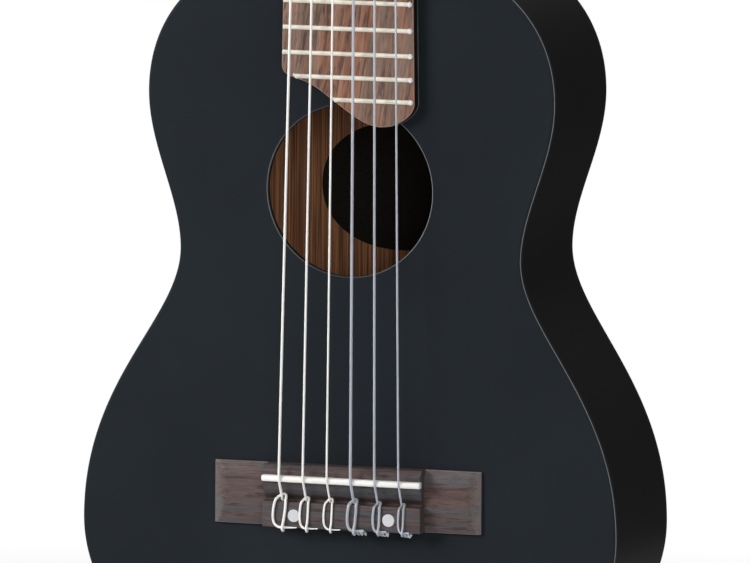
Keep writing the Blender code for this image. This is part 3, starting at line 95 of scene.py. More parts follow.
# Fingerboard, frets, nut and strings
SCALE_LENGTH = 433 * MM
FRET_COUNT = 18
FRET_SINK = 0.1 * MM
FRET_BASS_INSET = 0.3 * MM
FRET_TREBLE_INSET = 0.45 * MM
FRET_FLARE = 1.1 * MM
NUT_WIDTH = 48 * MM
NUT_THICKNESS = 5 * MM
BOARD_END_WIDTH = 57 * MM
BOARD_LEAN = 0.6 * MM
BOARD_THICKNESS = 5 * MM
BEAD_RADIUS = 0.24 * MM
BEAD_GAP = 0.12 * MM
HAIR = 0.02 * MM
STRING_DIAMETERS = np.array((1.1, 0.98, 0.86, 1.2, 1.04, 0.88)) * MM
WOUND_COUNT = 3
NUT_SPREAD = 37 * MM
SADDLE_SPREAD = 51.2 * MM
STRING_REST_AT_NUT = 6.4 * MM
STRING_LEVEL_AT_POST = 5.9 * MM
FRAY_WIDTHS = (4.4 * MM, 3.9 * MM, 3.4 * MM)
SEAT_GAP = 0.3 * MM

# Bridge and saddle
SADDLE_Z = -434.5 * MM
BRIDGE_TOP = SADDLE_Z + 5 * MM
BRIDGE_WIDTH = 25.6 * MM
BRIDGE_BOTTOM = BRIDGE_TOP - BRIDGE_WIDTH
BRIDGE_LENGTH = 114.1 * MM
WING_CROWN = 3.9 * MM
WING_EDGE = 0.25 * MM
WING_LIP = 0.08 * MM
BLOCK_LENGTH = 67.8 * MM
BLOCK_FOOT = -0.6 * MM
TIE_FRONT = SADDLE_Z - 10 * MM
TIE_BLOCK_HEIGHT = 8.6 * MM
TIE_HOLE_HEIGHT = 5.9 * MM
TIE_HOLE_RADIUS = 0.95 * MM
CHANNEL_FLOOR = 5 * MM
SADDLE_LENGTH = 67.9 * MM
SADDLE_THICKNESS = 2.58 * MM
SADDLE_MIDDLE = SADDLE_Z - 0.53 * MM
SADDLE_TILT = 0.0042
SADDLE_TOP = 11.4 * MM
DOT_Z = SADDLE_Z - 15.6 * MM
DOT_OFFSET = 20.3 * MM
DOT_RADIUS = 2.6 * MM
TIE_CROSSING_HEIGHT = 7.7 * MM
# Crest, lean, bulge and tail of each string's tie, from bass to treble
TIES = np.array([
    (2.95, 2.2, 4.9, 6.6),
    (2.05, 1.55, 3.4, 5.4),
    (1.95, 1.5, 3.4, 4.9),
    (2.2, 1.7, 3.5, 4.6),
    (1.4, 1.4, 2.7, 4),
    (1.15, 1.35, 2.1, 3.4),
]) * MM

# Neck, headstock and tuning machines
NECK_DEPTH_AT_NUT = 15.5 * MM
NECK_DEPTH_AT_HEEL = 18.5 * MM
HEEL_TOP = BODY_TOP + 34 * MM
HEEL_CURVE = 25 * MM
HEEL_DEPTH = BODY_DEPTH * 1.07
HEEL_CAP_GAP = 1.5 * MM
BOARD_SEAT_EDGE = 0.05 * MM
HEAD_ANGLE = math.radians(14)
HEAD_THICKNESS = 14 * MM
HEAD_LENGTH = 163.5 * MM
HEAD_BLEND = 20.7 * MM
NECK_POWER, HEAD_POWER = 2.4, 9.2
TUNER_COUNT = 6
FIRST_POST_RISE = 42 * MM
POST_SPACING = 38 * MM
POST_OFFSET = 22 * MM
POST_HOLE_RADIUS = 4.7 * MM
WINDING_START = 3.2 * MM
WINDING_END = 8.6 * MM
WINDING_RADIUS = 4.4 * MM
WORM_DEPTH = 8.6 * MM
WORM_LEVEL = 19.8 * MM
WORM_LEAD = 2.513 * MM
WORM_RADIUS = 3 * MM
WORM_HALF = 3.8 * MM
GEAR_TEETH = 14
GEAR_HALF = 1.5 * MM
GEAR_TIP, GEAR_ROOT, GEAR_PITCH_RADIUS = 6.15 * MM, 4.55 * MM, 5.6 * MM

# Stage, with the photograph's camera
FLOOR_GAP = 0.2 * MM
SHADOW_REACH, FLOOR_FADE = 0.56, 0.78
LAMP_AIM = (0, 0, -0.3)
SENSOR_WIDTH = 36
CAMERA_PLACE = (1.63814, -4.81205, 0.22948)
CAMERA_TURN = tuple(math.radians(a) for a in (83.44936, -0.35253, 18.72172))


# Curves and surfaces

def around(count):
    """Even angles of a full turn, the last one step before the first."""
    return 2 * math.pi * np.arange(count) / count


def quarter(count):
    """Even angles from 0 to a right angle."""
    return np.linspace(0, math.pi / 2, count)


def fillet(radius, steps=7):
    """Pairs r(1 - sin a), r(1 - cos a): a quarter circle from (r, 0) to (0, r)."""
    return [(radius * (1 - math.sin(a)), radius * (1 - math.cos(a))) for a in quarter(steps)]


def unit(value):
    """A value held between 0 and 1."""
    return np.clip(value, 0, 1)


def ease(t):
    """Smooth step 3t^2 - 2t^3."""
    return t * t * (3 - 2 * t)


def signed_power(wave, power):
    """sign(w) |w|^p, which squares the corners of an ellipse."""
    return np.sign(wave) * np.abs(wave) ** power


def sheet(*parts):
    """Points whose coordinates are spread over their common shape."""
    return np.stack(np.broadcast_arrays(*parts), -1)


def arch(count, power):
    """Cosines of a half turn with both ends doubled, and its sines to a power."""
    turn = np.linspace(0, math.pi, count)
    return np.concatenate([[1], np.cos(turn), [-1]]), np.sin(turn) ** power


def bezier_chain(anchors, steps):
    """Cubic curves end to end, from anchors (handle before, point, handle after).

    Each stretch is the sum of its four corners weighted by (1-t)^3, 3t(1-t)^2, 3t^2(1-t) and t^3.
    """
    anchors = np.array(anchors, float)
    t = np.arange(steps) / steps
    weights = np.stack([(1 - t) ** 3, 3 * t * (1 - t) ** 2, 3 * t * t * (1 - t), t ** 3], 1)
    corners = np.stack([anchors[:-1, 1], anchors[:-1, 2], anchors[1:, 0], anchors[1:, 1]], 1)
    points = np.einsum("tk,skd->std", weights, corners).reshape(-1, anchors.shape[-1])
    return np.vstack([points, anchors[-1, 1]])


def run_of(line):
    """Length walked along a line at each of its points."""
    return np.concatenate([[0], np.cumsum(np.linalg.norm(np.diff(line, axis=0), axis=1))])


def even_line(line, count):
    """The same line in equal steps: each coordinate is read off against the length walked."""
    run = run_of(line)
    at = np.linspace(0, run[-1], count)
    return np.stack([np.interp(at, run, line[:, k]) for k in range(line.shape[1])], 1)


def smooth_path(points, steps):
    """Catmull Rom curve through points: each stretch blends its four nearest points by cubics in t."""
    points = np.array(points, float)
    padded = np.vstack([points[:1], points, points[-1:]])
    a, b, c, d = (p[:, None] for p in (padded[:-3], padded[1:-2], padded[2:-1], padded[3:]))
    t = (np.arange(steps) / steps)[None, :, None]
    curve = 2 * b + (c - a) * t + (2 * a - 5 * b + 4 * c - d) * t ** 2 + (3 * b - 3 * c + d - a) * t ** 3
    return np.vstack([0.5 * curve.reshape(-1, points.shape[1]), points[-1:]])


def unit_rows(vectors):
    """Each vector divided by its own length."""
    return vectors / np.linalg.norm(vectors, axis=1, keepdims=True)


def outward(loop):
    """Unit direction out of a clockwise closed outline: the step between the neighbours, turned left."""
    along = np.roll(loop, -1, 0) - np.roll(loop, 1, 0)
    return unit_rows(sheet(-along[:, 1], along[:, 0]))


def round_corners(outline, radius):
    """Each corner becomes a short parabola between points a radius before and after it."""
    before = np.roll(outline, 1, 0) - outline
    after = np.roll(outline, -1, 0) - outline
    shorter = np.minimum(np.linalg.norm(before, axis=1), np.linalg.norm(after, axis=1))
    reach = np.minimum(radius, 0.45 * shorter)[:, None]
    start = (outline + unit_rows(before) * reach)[:, None]
    end = (outline + unit_rows(after) * reach)[:, None]
    t = np.linspace(0, 1, 4)[None, :, None]
    return ((1 - t) ** 2 * start + 2 * t * (1 - t) * outline[:, None] + t * t * end).reshape(-1, 2)


def skin(grid, along=False, ends="flat", finish=0, wear=0):
    """Quads round each row of a grid of points, its ends capped flat, or drawn to the first point.

    U runs 0 to 1 round the columns and V is the length in metres down the rows.
    """
    rows, columns = grid.shape[:2]
    index = np.arange(rows * columns).reshape(rows, columns)
    index = np.hstack([index, index[:, :1]])
    index = np.vstack([index, index[:1]]) if along else index
    quads = np.stack([index[:-1, :-1], index[:-1, 1:], index[1:, 1:], index[1:, :-1]], -1)
    down = len(quads)
    middles = grid.mean(1)
    v = run_of(np.vstack([middles, middles[:1]]) if along else middles)
    u = np.arange(columns + 1) / columns
    corner_v = np.stack([v[:-1], v[:-1], v[1:], v[1:]], -1)[:, None].repeat(columns, 1)
    corner_u = np.stack([u[:-1], u[1:], u[1:], u[:-1]], -1)[None].repeat(down, 0)
    uv = np.stack([corner_u, corner_v], -1)
    finish = np.asarray(finish)
    finish = np.broadcast_to(finish[:, None] if finish.ndim == 1 else finish, (down, columns))
    faces = [(quads.reshape(-1, 4), uv.reshape(-1, 4, 2), finish.reshape(-1))]
    if ends == "flat" and not along:
        for row, order in ((0, -1), (rows - 1, 1)):
            cap = index[row, :-1][::order][None]
            faces.append((cap, np.zeros((1, columns, 2)), finish[min(row, down - 1), :1]))
    if ends == "point":
        faces = [(quads[1:-1].reshape(-1, 4), uv[1:-1].reshape(-1, 4, 2), finish[1:-1].reshape(-1))]
        first, last = (0, [0, 2, 3], 0, index[0, 0]), (down - 1, [0, 1, 2], 2, index[-1, 0])
        for row, corners, tip, pole in (first, last):
            fan = quads[row][:, corners]
            fan[:, tip] = pole
            faces.append((fan, uv[row][:, corners], finish[row]))
    wear = np.broadcast_to(wear, (rows, columns)).reshape(-1)
    return oriented({"points": grid.reshape(-1, 3), "faces": faces, "wear": wear})


def oriented(shell):
    """Turn a closed surface's faces outwards, by the sign of the volume that they enclose."""
    volume = 0
    for faces, _, _ in shell["faces"]:
        corners = shell["points"][faces]
        volume += np.einsum("fd,fkd->", corners[:, 0], np.cross(corners[:, 1:-1], corners[:, 2:]))
    if volume < 0:
        shell["faces"] = [(faces[:, ::-1], uv[:, ::-1], finish) for faces, uv, finish in shell["faces"]]
    return shell


def placed(shell, matrix):
    """A surface moved by a 4 by 4 matrix, with its faces turned outwards again."""
    matrix = np.array(matrix, float)
    return oriented(dict(shell, points=shell["points"] @ matrix[:3, :3].T + matrix[:3, 3]))


def turned(profile, steps, ring=False):
    """A profile of (radius, height) turned about Z: x = r cos a, y = r sin a.

    It starts and ends on the axis. A ring's section ends at its foot, which a fan closes.
    """
    radius, height = (column[:, None] for column in np.array(profile, float).T)
    turn = around(steps)
    return skin(sheet(radius * np.cos(turn), radius * np.sin(turn), height), along=ring, ends="point")


def tube(path, radius, sides=16, blunt=False):
    """A round tube along a path: a circle square to it at each point, closed by half balls or blunt.

    The circles start from the compass direction that stays furthest from the path's own directions.
    """
    path = np.array(path, float)
    radius = np.broadcast_to(np.asarray(radius, float), len(path))
    along = unit_rows(np.gradient(path, axis=0))
    if not blunt:
        bend = quarter(5)[:-1]
        start = path[:1] - along[:1] * radius[0] * np.cos(bend)[:, None]
        end = path[-1:] + along[-1:] * radius[-1] * np.cos(bend[::-1])[:, None]
        radius = np.concatenate([radius[0] * np.sin(bend), radius, radius[-1] * np.sin(bend[::-1])])
        radius[0] = radius[-1] = radius[1] * 0.02
        along = np.vstack([np.repeat(along[:1], 4, 0), along, np.repeat(along[-1:], 4, 0)])
        path = np.vstack([start, path, end])
    count = 400
    step = np.arange(count) + 0.5
    polar, spin = np.arccos(1 - 2 * step / count), math.pi * (1 + 5 ** 0.5) * step
    compass = sheet(np.cos(spin) * np.sin(polar), np.sin(spin) * np.sin(polar), np.cos(polar))
    guide = compass[np.argmin(np.abs(compass @ along.T).max(1))]
    side = unit_rows(np.cross(along, guide))
    up = np.cross(side, along)
    turn = around(sides)[None, :, None]
    ring = np.cos(turn) * side[:, None] + np.sin(turn) * up[:, None]
    return skin(path[:, None] + radius[:, None, None] * ring)


def plate(loop, centre, rows, hole=0.0, finish=0, wear=0):
    """A flat plate as rings round a centre, from rows of (share, inset, depth, growth).

    A ring stands at a share of the way from the hole, widened by its growth, to the outline drawn
    in by its inset. Without a hole the first and last rings meet in a point at the centre.
    """
    spoke = unit_rows(loop - centre)
    share, inset, depth, growth = (np.array(column, float)[:, None, None] for column in zip(*rows))
    inner = centre + spoke[None] * (hole + growth if hole else 0 * growth)
    rim = loop[None] - outward(loop)[None] * inset
    flat = inner + (rim - inner) * share
    grid = sheet(flat[..., 0], depth[..., 0], flat[..., 1])
    return skin(grid, along=bool(hole), ends="flat" if hole else "point", finish=finish, wear=wear)


def bar(section, length, bevel, middle=0.0):
    """A section of (height, z) carried along X, drawn in by a quarter circle at each end."""
    loop = np.array(section, float)
    after = np.roll(loop, -1, 0)
    clockwise = np.sum(loop[:, 0] * after[:, 1] - after[:, 0] * loop[:, 1]) <= 0
    loop = loop if clockwise else loop[::-1]
    inset, near = np.array(fillet(bevel, 4)).T
    near = near - length / 2
    inner = np.linspace(bevel - length / 2, length / 2 - bevel, 5)[1:-1]
    x = np.concatenate([near, inner, -near[::-1]])[:, None]
    inset = np.concatenate([inset, 0 * inner, inset[::-1]])
    flat = loop[None] - outward(loop)[None] * inset[:, None, None]
    return skin(sheet(x + middle, -flat[..., 0], flat[..., 1]))


def linked(name, data):
    """A new object in the scene."""
    item = bpy.data.objects.new(name, data)
    bpy.context.scene.collection.objects.link(item)
    return item


def mesh_of(name, shells):
    """One mesh from closed surfaces, with the face groups that it is made of."""
    starts = np.cumsum([0] + [len(shell["points"]) for shell in shells])
    groups = []
    for shell, start in zip(shells, starts):
        groups += [(faces + start, uv, finish) for faces, uv, finish in shell["faces"]]
    mesh = bpy.data.meshes.new(name)
    points = np.vstack([shell["points"] for shell in shells])
    mesh.from_pydata(points, [], [face for faces, _, _ in groups for face in faces.tolist()])
    return mesh, groups


def smooth(mesh, sharp=35):
    """Smooth shading, with edges kept sharp above an angle in degrees."""
    mesh.shade_smooth()
    mesh.set_sharp_from_angle(angle=math.radians(sharp))


def make_piece(name, shells, finishes, body=BODY, replaces=(), sharp=35):
    """Put surfaces into one mesh, give it its finishes and let it ride on its body."""
    mesh, groups = mesh_of(name, shells)
    layer = mesh.uv_layers.new(name="surface")
    uvs = np.concatenate([uv.reshape(-1) for _, uv, _ in groups])
    layer.data.foreach_set("uv", uvs.astype(np.float32))
    indices = np.concatenate([finish for _, _, finish in groups])
    mesh.polygons.foreach_set("material_index", indices.astype(np.int32))
    wear = mesh.attributes.new("wear", "FLOAT", "POINT")
    levels = np.concatenate([shell["wear"] for shell in shells])
    wear.data.foreach_set("value", levels.astype(np.float32))
    for material in finishes:
        mesh.materials.append(material)
    mesh.update()
    smooth(mesh, sharp)
    piece = linked(name, mesh)
    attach(piece, body)
    if replaces:
        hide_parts(*replaces)
    return piece


def carve(piece, shells, name):
    """Cut closed surfaces out of a piece, and keep the result as its mesh."""
    cutter = linked(name, mesh_of(name, shells)[0])
    modifier = piece.modifiers.new(name, "BOOLEAN")
    modifier.operation = "DIFFERENCE"
    modifier.solver = "EXACT"
    modifier.object = cutter
    bpy.context.view_layer.update()
    graph = bpy.context.evaluated_depsgraph_get()
    carved = bpy.data.meshes.new_from_object(piece.evaluated_get(graph))
    piece.modifiers.clear()
    piece.data = carved
    smooth(carved)
    bpy.data.objects.remove(cutter)


# Finishes

def sign(operation, swapped=False):
    """A method that joins two values by a Math node."""
    def method(self, other):
        pair = (other, self) if swapped else (self, other)
        return self.math(operation, *pair)
    return method


class Value:
    """A node's output that Python's signs work on by adding Math nodes."""

    def __init__(self, nodes, source):
        self.nodes = nodes
        self.source = source

    __add__ = sign("ADD")
    __radd__ = sign("ADD", True)
    __sub__ = sign("SUBTRACT")
    __rsub__ = sign("SUBTRACT", True)
    __mul__ = sign("MULTIPLY")
    __rmul__ = sign("MULTIPLY", True)
    __truediv__ = sign("DIVIDE")

    def math(self, operation, *values):
        return self.nodes.add("ShaderNodeMath", {"operation": operation}, dict(enumerate(values)))

    def fraction(self):
        return self.math("FRACT", self)

    def steps(self, low, high):
        """0 below one edge, 1 above the other, smooth between."""
        sockets = {"Value": self, "From Min": low, "From Max": high, "To Min": 0.0, "To Max": 1.0}
        return self.nodes.add("ShaderNodeMapRange", {"interpolation_type": "SMOOTHSTEP"}, sockets)

    def beside(self, output):
        """Another output of the same node."""
        return Value(self.nodes, self.source.node.outputs[output])


class Nodes:
    """A node tree that is written as expressions."""

    def __init__(self, tree):
        self.tree = tree

    def add(self, kind, settings=None, sockets=None, output=0):
        """A node of a kind, its settings made first, then the values or links of its sockets."""
        node = self.tree.nodes.new(kind)
        for key, value in (settings or {}).items():
            setattr(node, key, value)
        for key, value in (sockets or {}).items():
            self.plug(node.inputs[key], value)
        return Value(self, node.outputs[output] if node.outputs else None)

    def plug(self, socket, value):
        if isinstance(value, Value):
            self.tree.links.new(value.source, socket)
        elif socket.type == "RGBA":
            socket.default_value = (*value, 1)
        else:
            socket.default_value = value

    def light(self, kind, strength):
        """White light of a kind of node."""
        return self.add(kind, {}, {"Color": (1, 1, 1), "Strength": strength})

    def either(self, share, first, second):
        """Two shaders mixed by a share."""
        return self.add("ShaderNodeMixShader", {}, {0: share, 1: first, 2: second})

    def split(self, vector, axis):
        return self.add("ShaderNodeSeparateXYZ", {}, {"Vector": vector}, output=axis)


class Finish(Nodes):
    """One material."""

    def __init__(self, name):
        self.material = bpy.data.materials.new(name)
        self.material.use_nodes = True
        super().__init__(self.material.node_tree)
        self.shader = self.tree.nodes["Principled BSDF"]

    def set(self, **values):
        """Sockets of the main shader, with spaces in their names written as underscores."""
        for key, value in values.items():
            self.plug(self.shader.inputs[key.replace("_", " ")], value)
        return self.material

    def noise(self, scale, detail=3.0, rough=0.5, distortion=0.0, turn=None, offset=(0, 0, 0)):
        """Noise over object coordinates, turned, then scaled alike or by axis, and moved."""
        here = self.add("ShaderNodeTexCoord", output="Object")
        if turn is not None:
            here = self.add("ShaderNodeMapping", {}, {"Vector": here, "Rotation": turn})
        scale = np.broadcast_to(scale, 3).tolist()
        here = self.add("ShaderNodeMapping", {}, {"Vector": here, "Scale": scale, "Location": offset})
        sockets = {"Vector": here, "Scale": 1.0, "Detail": detail, "Roughness": rough}
        return self.add("ShaderNodeTexNoise", {}, {**sockets, "Distortion": distortion})

    def surface(self, axis):
        """One coordinate of the piece's own UV map."""
        return self.split(self.add("ShaderNodeUVMap", {"uv_map": "surface"}), axis)

    def blend(self, share, first, second, how="MIX"):
        """Two colours mixed by a share."""
        settings = {"data_type": "RGBA", "blend_type": how}
        return self.add("ShaderNodeMix", settings, {0: share, 6: first, 7: second}, output=2)

    def ramp(self, value, *stops):
        """A colour read off along (place, colour) stops."""
        made = self.add("ShaderNodeValToRGB", {}, {"Fac": value})
        elements = made.source.node.color_ramp.elements
        while len(elements) < len(stops):
            elements.new(0.5)
        for element, (place, color) in zip(elements, stops):
            element.position = place
            element.color = (*color, 1)
        return made

    def bump(self, height, distance, strength):
        """A normal from a height between 0 and 1, in units of a distance in metres."""
        sockets = {"Height": height, "Distance": distance, "Strength": strength}
        return self.add("ShaderNodeBump", {}, sockets)

    # Painted light and shade, kept per point in a mesh attribute: above 0 it lightens a finish as a painted
    # highlight, below 0 it darkens it as painted shade.
    def wear(self):
        return self.add("ShaderNodeAttribute", {"attribute_name": "wear"}, output="Fac")


MADE = {}


def kept(maker):
    """Make a finish once, and hand the same one out after that."""
    def give(*values):
        key = (maker.__name__, values)
        if key not in MADE:
            MADE[key] = maker(*values)
        return MADE[key]
    return give


def dim(color, share):
    """A colour with each part scaled by a share, or by a share of its own."""
    return tuple(np.multiply(color, share).tolist())


@kept
def black_lacquer(name="black_satin_lacquer"):
    """Satin black over wood: faint long pores, a soft cloud in its sheen, and thin pale lines painted along
    its rounded edges as glints.
    """
    look = bpy.context.scene.guitalele_body
    f = Finish(name)
    # The sides take a darker, neutral copy of the body's lacquer: painted shade.
    tint = look.side_lacquer if name == "side_lacquer" else look.lacquer
    pores = f.noise((900, 900, 26), rough=0.6)
    cloud = f.noise(9)
    # Painted highlight: where the mesh marks it, the pale edge colour stands in for light caught on the
    # rounded edges.
    painted_highlight = f.wear()
    base = f.blend(cloud.steps(0.3, 0.7), tint, dim(tint, 1.25))
    return f.set(
        Base_Color=f.blend(painted_highlight * 0.75, base, look.painted_edge_glint),
        Roughness=0.4 + cloud * 0.08 + pores * 0.05 - painted_highlight * 0.1,
        Normal=f.bump(pores, 0.03 * MM, 0.35),
        Specular_IOR_Level=0.06,
    )


def streaked_wood(f, grain, look, level, rush, fine, turn=None, offset=(0, 0, 0)):
    """Open pored wood: wide warm and grey bands, short dark and pale streaks, fibres and pores.

    Grain is the index of the axis that the fibres follow: noise is stretched along it and squeezed
    across. Rush shortens the figure and fine narrows it.
    """
    warm, grey, dark, pale = (
        dim(tone, level) for tone in (look.wood_warm, look.wood_grey, look.wood_dark, look.wood_pale)
    )

    def stretched(across, length, shift, *kind):
        scale = [across * fine] * 3
        scale[grain] = length
        return f.noise(scale, *kind, turn=turn, offset=tuple(shift + o for o in offset))
    bands = stretched(115, 9, 0, 3.0, 0.55, 0.3)
    streaks = stretched(430, 40 * rush, 3.0, 4.0, 0.65, 0.4)
    glints = stretched(620, 60 * rush, 7.0, 3.0, 0.6, 0.3)
    fibres = stretched(1050, 34 * rush, 0, 4.0, 0.7)
    pores = stretched(1500, 130 * rush, 11.0, 2.0, 0.5).steps(0.56, 0.66)
    color = f.blend(bands.steps(0.4, 0.6), warm, grey)
    color = f.blend(glints.steps(0.52, 0.68) * 0.5, color, pale)
    color = f.blend(streaks.steps(0.52, 0.62) * 0.82, color, dark)
    shade = f.ramp(fibres, (0.35, (0.68, 0.68, 0.68)), (0.65, (1.12, 1.12, 1.12)))
    color = f.blend(1.0, color, shade, "MULTIPLY")
    return f.blend(pores * 0.45, color, dark), fibres * 0.4 + (1 - pores) * 0.6, bands


@kept
def board_rosewood():
    """Oiled fingerboard rosewood, its grain leaning a little across the neck, with a painted pale highlight
    along its bevelled edge.
    """
    look = bpy.context.scene.guitalele_board
    f = Finish("board_rosewood")
    turn = (0, math.radians(-8), 0)
    color, height, bands = streaked_wood(f, 2, look, level=1, rush=1.3, fine=1.15, turn=turn)
    return f.set(
        Base_Color=f.blend(f.wear() * 0.8, color, (0.36, 0.26, 0.21)),
        Roughness=0.5 + bands * 0.15,
        Normal=f.bump(height, 0.06 * MM, 0.5),
        Specular_IOR_Level=0.2,
    )


@kept
def bridge_rosewood(name, level):
    """Darker, greyer rosewood, its grain from end to end: pale where a highlight is painted, dark where
    shade is painted as negative values.
    """
    f = Finish(name)
    offset = (2.0 * level[0], 0, 5.0 * level[0])
    look = bpy.context.scene.guitalele_bridge
    color, height, bands = streaked_wood(f, 0, look, level, rush=1.7, fine=1.7, offset=offset)
    # Painted shade: negative values darken the wood towards near black.
    color = f.blend(f.wear() * -0.82, color, (0.024, 0.009, 0.005))
    return f.set(
        # Painted highlight: positive values pale the wood.
        Base_Color=f.blend(f.wear() * 0.7, color, (0.3, 0.27, 0.26)),
        Roughness=0.48 + bands * 0.14,
        Normal=f.bump(height, 0.05 * MM, 0.5),
        Specular_IOR_Level=0.4,
    )


def speckled(name, rough, gain, dark, light, *noise):
    """A finish whose colour runs from dark to light over a noise that its roughness follows too."""
    f = Finish(name)
    grain = f.noise(*noise)
    f.set(Base_Color=f.ramp(grain, (0.3, dark), (0.7, light)), Roughness=rough + grain * gain)
    return f, grain


@kept
def edge_black():
    """Fingerboard's dyed edge."""
    dark, light = (0.005, 0.004, 0.004), (0.016, 0.012, 0.011)
    f, grain = speckled("board_edge_black", 0.42, 0.1, dark, light, (900, 900, 30), 3.0, 0.6)
    return f.set(Normal=f.bump(grain, 0.04 * MM, 0.4), Specular_IOR_Level=0.25)


@kept
def bare_wood(name, light, dark, across, length, axis=2):
    """Unfinished straight grained wood with fine pores and wide soft bands."""
    f = Finish(name)
    scale = np.array([across] * 3, float)
    scale[axis] = length
    wide = f.noise(scale * 0.12, distortion=0.4)
    fine = f.noise(scale, 4.0, 0.65)
    pores = f.noise(scale * 1.9, 2.0).steps(0.5, 0.62)
    color = f.ramp(wide * 0.2 + fine * 0.8, (0.38, dark), (0.62, light))
    color = f.blend(pores * 0.7, color, dim(dark, 0.5))
    normal = f.bump(fine - pores, 0.06 * MM, 0.5)
    return f.set(Base_Color=color, Roughness=0.62 + fine * 0.15, Normal=normal)


def back_wood():
    return bare_wood("back_inside_wood", (0.66, 0.3, 0.132), (0.17, 0.061, 0.023), 1700, 12)


def spruce():
    """Spruce whose grain runs up the instrument."""
    return bare_wood("spruce_z", (0.72, 0.52, 0.32), (0.52, 0.33, 0.17), 800, 10)


def brace_spruce():
    """Spruce whose grain runs from side to side."""
    return bare_wood("spruce_x", (0.72, 0.52, 0.32), (0.52, 0.33, 0.17), 800, 10, 0)


def block_wood():
    return bare_wood("block_wood", (0.42, 0.22, 0.12), (0.24, 0.11, 0.055), 420, 12)


@kept
def kerfed_wood():
    """Lining wood with a saw kerf every few millimetres along the side, each kerf a dark line of painted
    shade.
    """
    f = Finish("kerfed_lining")
    fine = f.noise(300)
    run = (f.surface("Y") / (5 * MM)).fraction()
    kerf = run.steps(0.1, 0.16) * (1 - run.steps(0.98, 1.0))
    color = f.ramp(fine, (0.3, (0.36, 0.22, 0.12)), (0.7, (0.52, 0.35, 0.2)))
    # The kerf itself is not cut: its near-black colour is painted shade.
    color = f.blend(kerf, (0.03, 0.015, 0.01), color)
    return f.set(Base_Color=color, Roughness=0.65 + fine * 0.1, Normal=f.bump(kerf, 1 * MM, 0.5))


@kept
def shaded_label_paper():
    """Paper with a faint fibre, painted near black as the shade inside the body."""
    dark, light = (0.01, 0.008, 0.006), (0.02, 0.017, 0.013)
    f, fibre = speckled("shaded_label_paper", 0.6, 0.1, dark, light, 700, 4.0, 0.6)
    return f.set(Normal=f.bump(fibre, 0.03 * MM, 0.4), Specular_IOR_Level=0.15)


@kept
def glint_bead_lacquer():
    """Glossy bead of lacquer where the board meets the soundboard, painted pale grey as a highlight line
    along it; its gloss catches real light too.
    """
    dark, light = (0.05, 0.052, 0.057), (0.12, 0.122, 0.13)
    return speckled("glint_bead_lacquer", 0.2, 0.1, dark, light, (300, 300, 120))[0].material


@kept
def fret_metal():
    """Nickel silver with faint polishing lines across its crown, and white painted highlights on its ends.
    """
    f = Finish("fret_metal")
    lines = f.noise((60, 3000, 5000), rough=0.6)
    tarnish = f.noise(160)
    color = f.ramp(tarnish, (0.35, (0.82, 0.77, 0.65)), (0.65, (0.92, 0.88, 0.79)))
    # Painted highlight: the marked ends turn white and lose their metal.
    ball = f.wear()
    return f.set(
        Base_Color=f.blend(ball, color, (0.97, 0.97, 0.96)),
        Roughness=0.3 + lines * 0.14,
        Normal=f.bump(lines, 0.01 * MM, 0.3),
        Metallic=0.2 - ball * 0.2,
    )


@kept
def bone(name, color, rough):
    """Off white moulded resin, faintly clouded, with fine scratches."""
    f = Finish(name)
    cloud = f.noise(220, 4.0)
    scratch = f.noise((300, 3000, 3000), rough=0.7)
    shade = f.ramp(cloud, (0.3, dim(color, 0.93)), (0.7, color))
    normal = f.bump(scratch, 0.015 * MM, 0.3)
    return f.set(Base_Color=shade, Roughness=rough + scratch * 0.12, Normal=normal)


@kept
def pearl():
    """Pearl: pale layers that shift between rose, blue and white."""
    f = Finish("dot_pearl")
    layers = f.noise(500, 4.0, 0.6, 2.0)
    rose, blue = (0.45, (0.7, 0.66, 0.68)), (0.6, (0.66, 0.7, 0.74))
    color = f.ramp(layers, (0.3, (0.6, 0.61, 0.68)), rose, blue, (0.75, (0.78, 0.78, 0.8)))
    return f.set(Base_Color=color, Roughness=0.16 + layers * 0.12, Coat_Weight=0.5)


@kept
def wound_wire():
    """Silver plated winding: fine turns square to the string, slightly spiral, a little darker between
    turns as painted shade.
    """
    look = bpy.context.scene.guitalele_strings
    f = Finish("wound_string")
    turns = (f.surface("Y") / (0.2 * MM) + f.surface("X")).fraction()
    ridge = 1 - (turns - 0.5) * (turns - 0.5) * 4
    grime = f.noise((400, 400, 60))
    return f.set(
        Base_Color=f.blend(ridge.steps(0.0, 0.6), dim(look.wound_color, 0.92), look.wound_color),
        Roughness=0.35 + grime * 0.1,
        Metallic=0.05,
        Normal=f.bump(ridge, 0.03 * MM, 0.5),
    )


@kept
def clear_nylon():
    """Nylon string: milky and half clear, smooth, with a lavender cast."""
    tint = bpy.context.scene.guitalele_strings.nylon_color
    f, _ = speckled("clear_nylon", 0.16, 0.08, dim(tint, 0.9), tint, (500, 500, 30))
    return f.set(Transmission_Weight=0.45, IOR=1.5)


@kept
def metal(name, color, rough):
    """Plated metal with a light brushed grain and finger marks."""
    f = Finish(name)
    marks = f.noise(120, 4.0, 0.6)
    brush = f.noise((3500, 300, 300), 2.0)
    return f.set(
        Base_Color=f.blend(marks, color, dim(color, 0.85)),
        Roughness=rough + marks * 0.1 + brush * 0.04,
        Normal=f.bump(brush, 0.006 * MM, 0.25),
        Metallic=1.0,
    )


def chrome():
    return metal("chrome_plate", (0.72, 0.72, 0.73), 0.1)


def string_looks(wound):
    """Material and slot of a wound or a plain string."""
    return (wound_wire(), "wound_string") if wound else (clear_nylon(), "nylon")


# Body

def body_half():
    """The treble half of the body's outline, from the neck joint to the tail, as (x, z)."""
    anchors = np.array([
        ((0, 0), (0, 0), (62, 0)),
        ((87, -29), (87, -63), (87, -86)),
        ((73, -106.5), (73, -127), (73, -156)),
        ((114.5, -182), (114.5, -239), (114.5, -282)),
        ((66, 0), (0, 0), (0, 0)),
    ]) * MM
    anchors[:-1, :, 1] += BODY_TOP
    anchors[-1, :, 1] = BODY_BOTTOM
    return even_line(bezier_chain(anchors, 80), 230)


def body_loop():
    half = body_half()
    return np.vstack([half, half[-2:0:-1] * (-1, 1)])


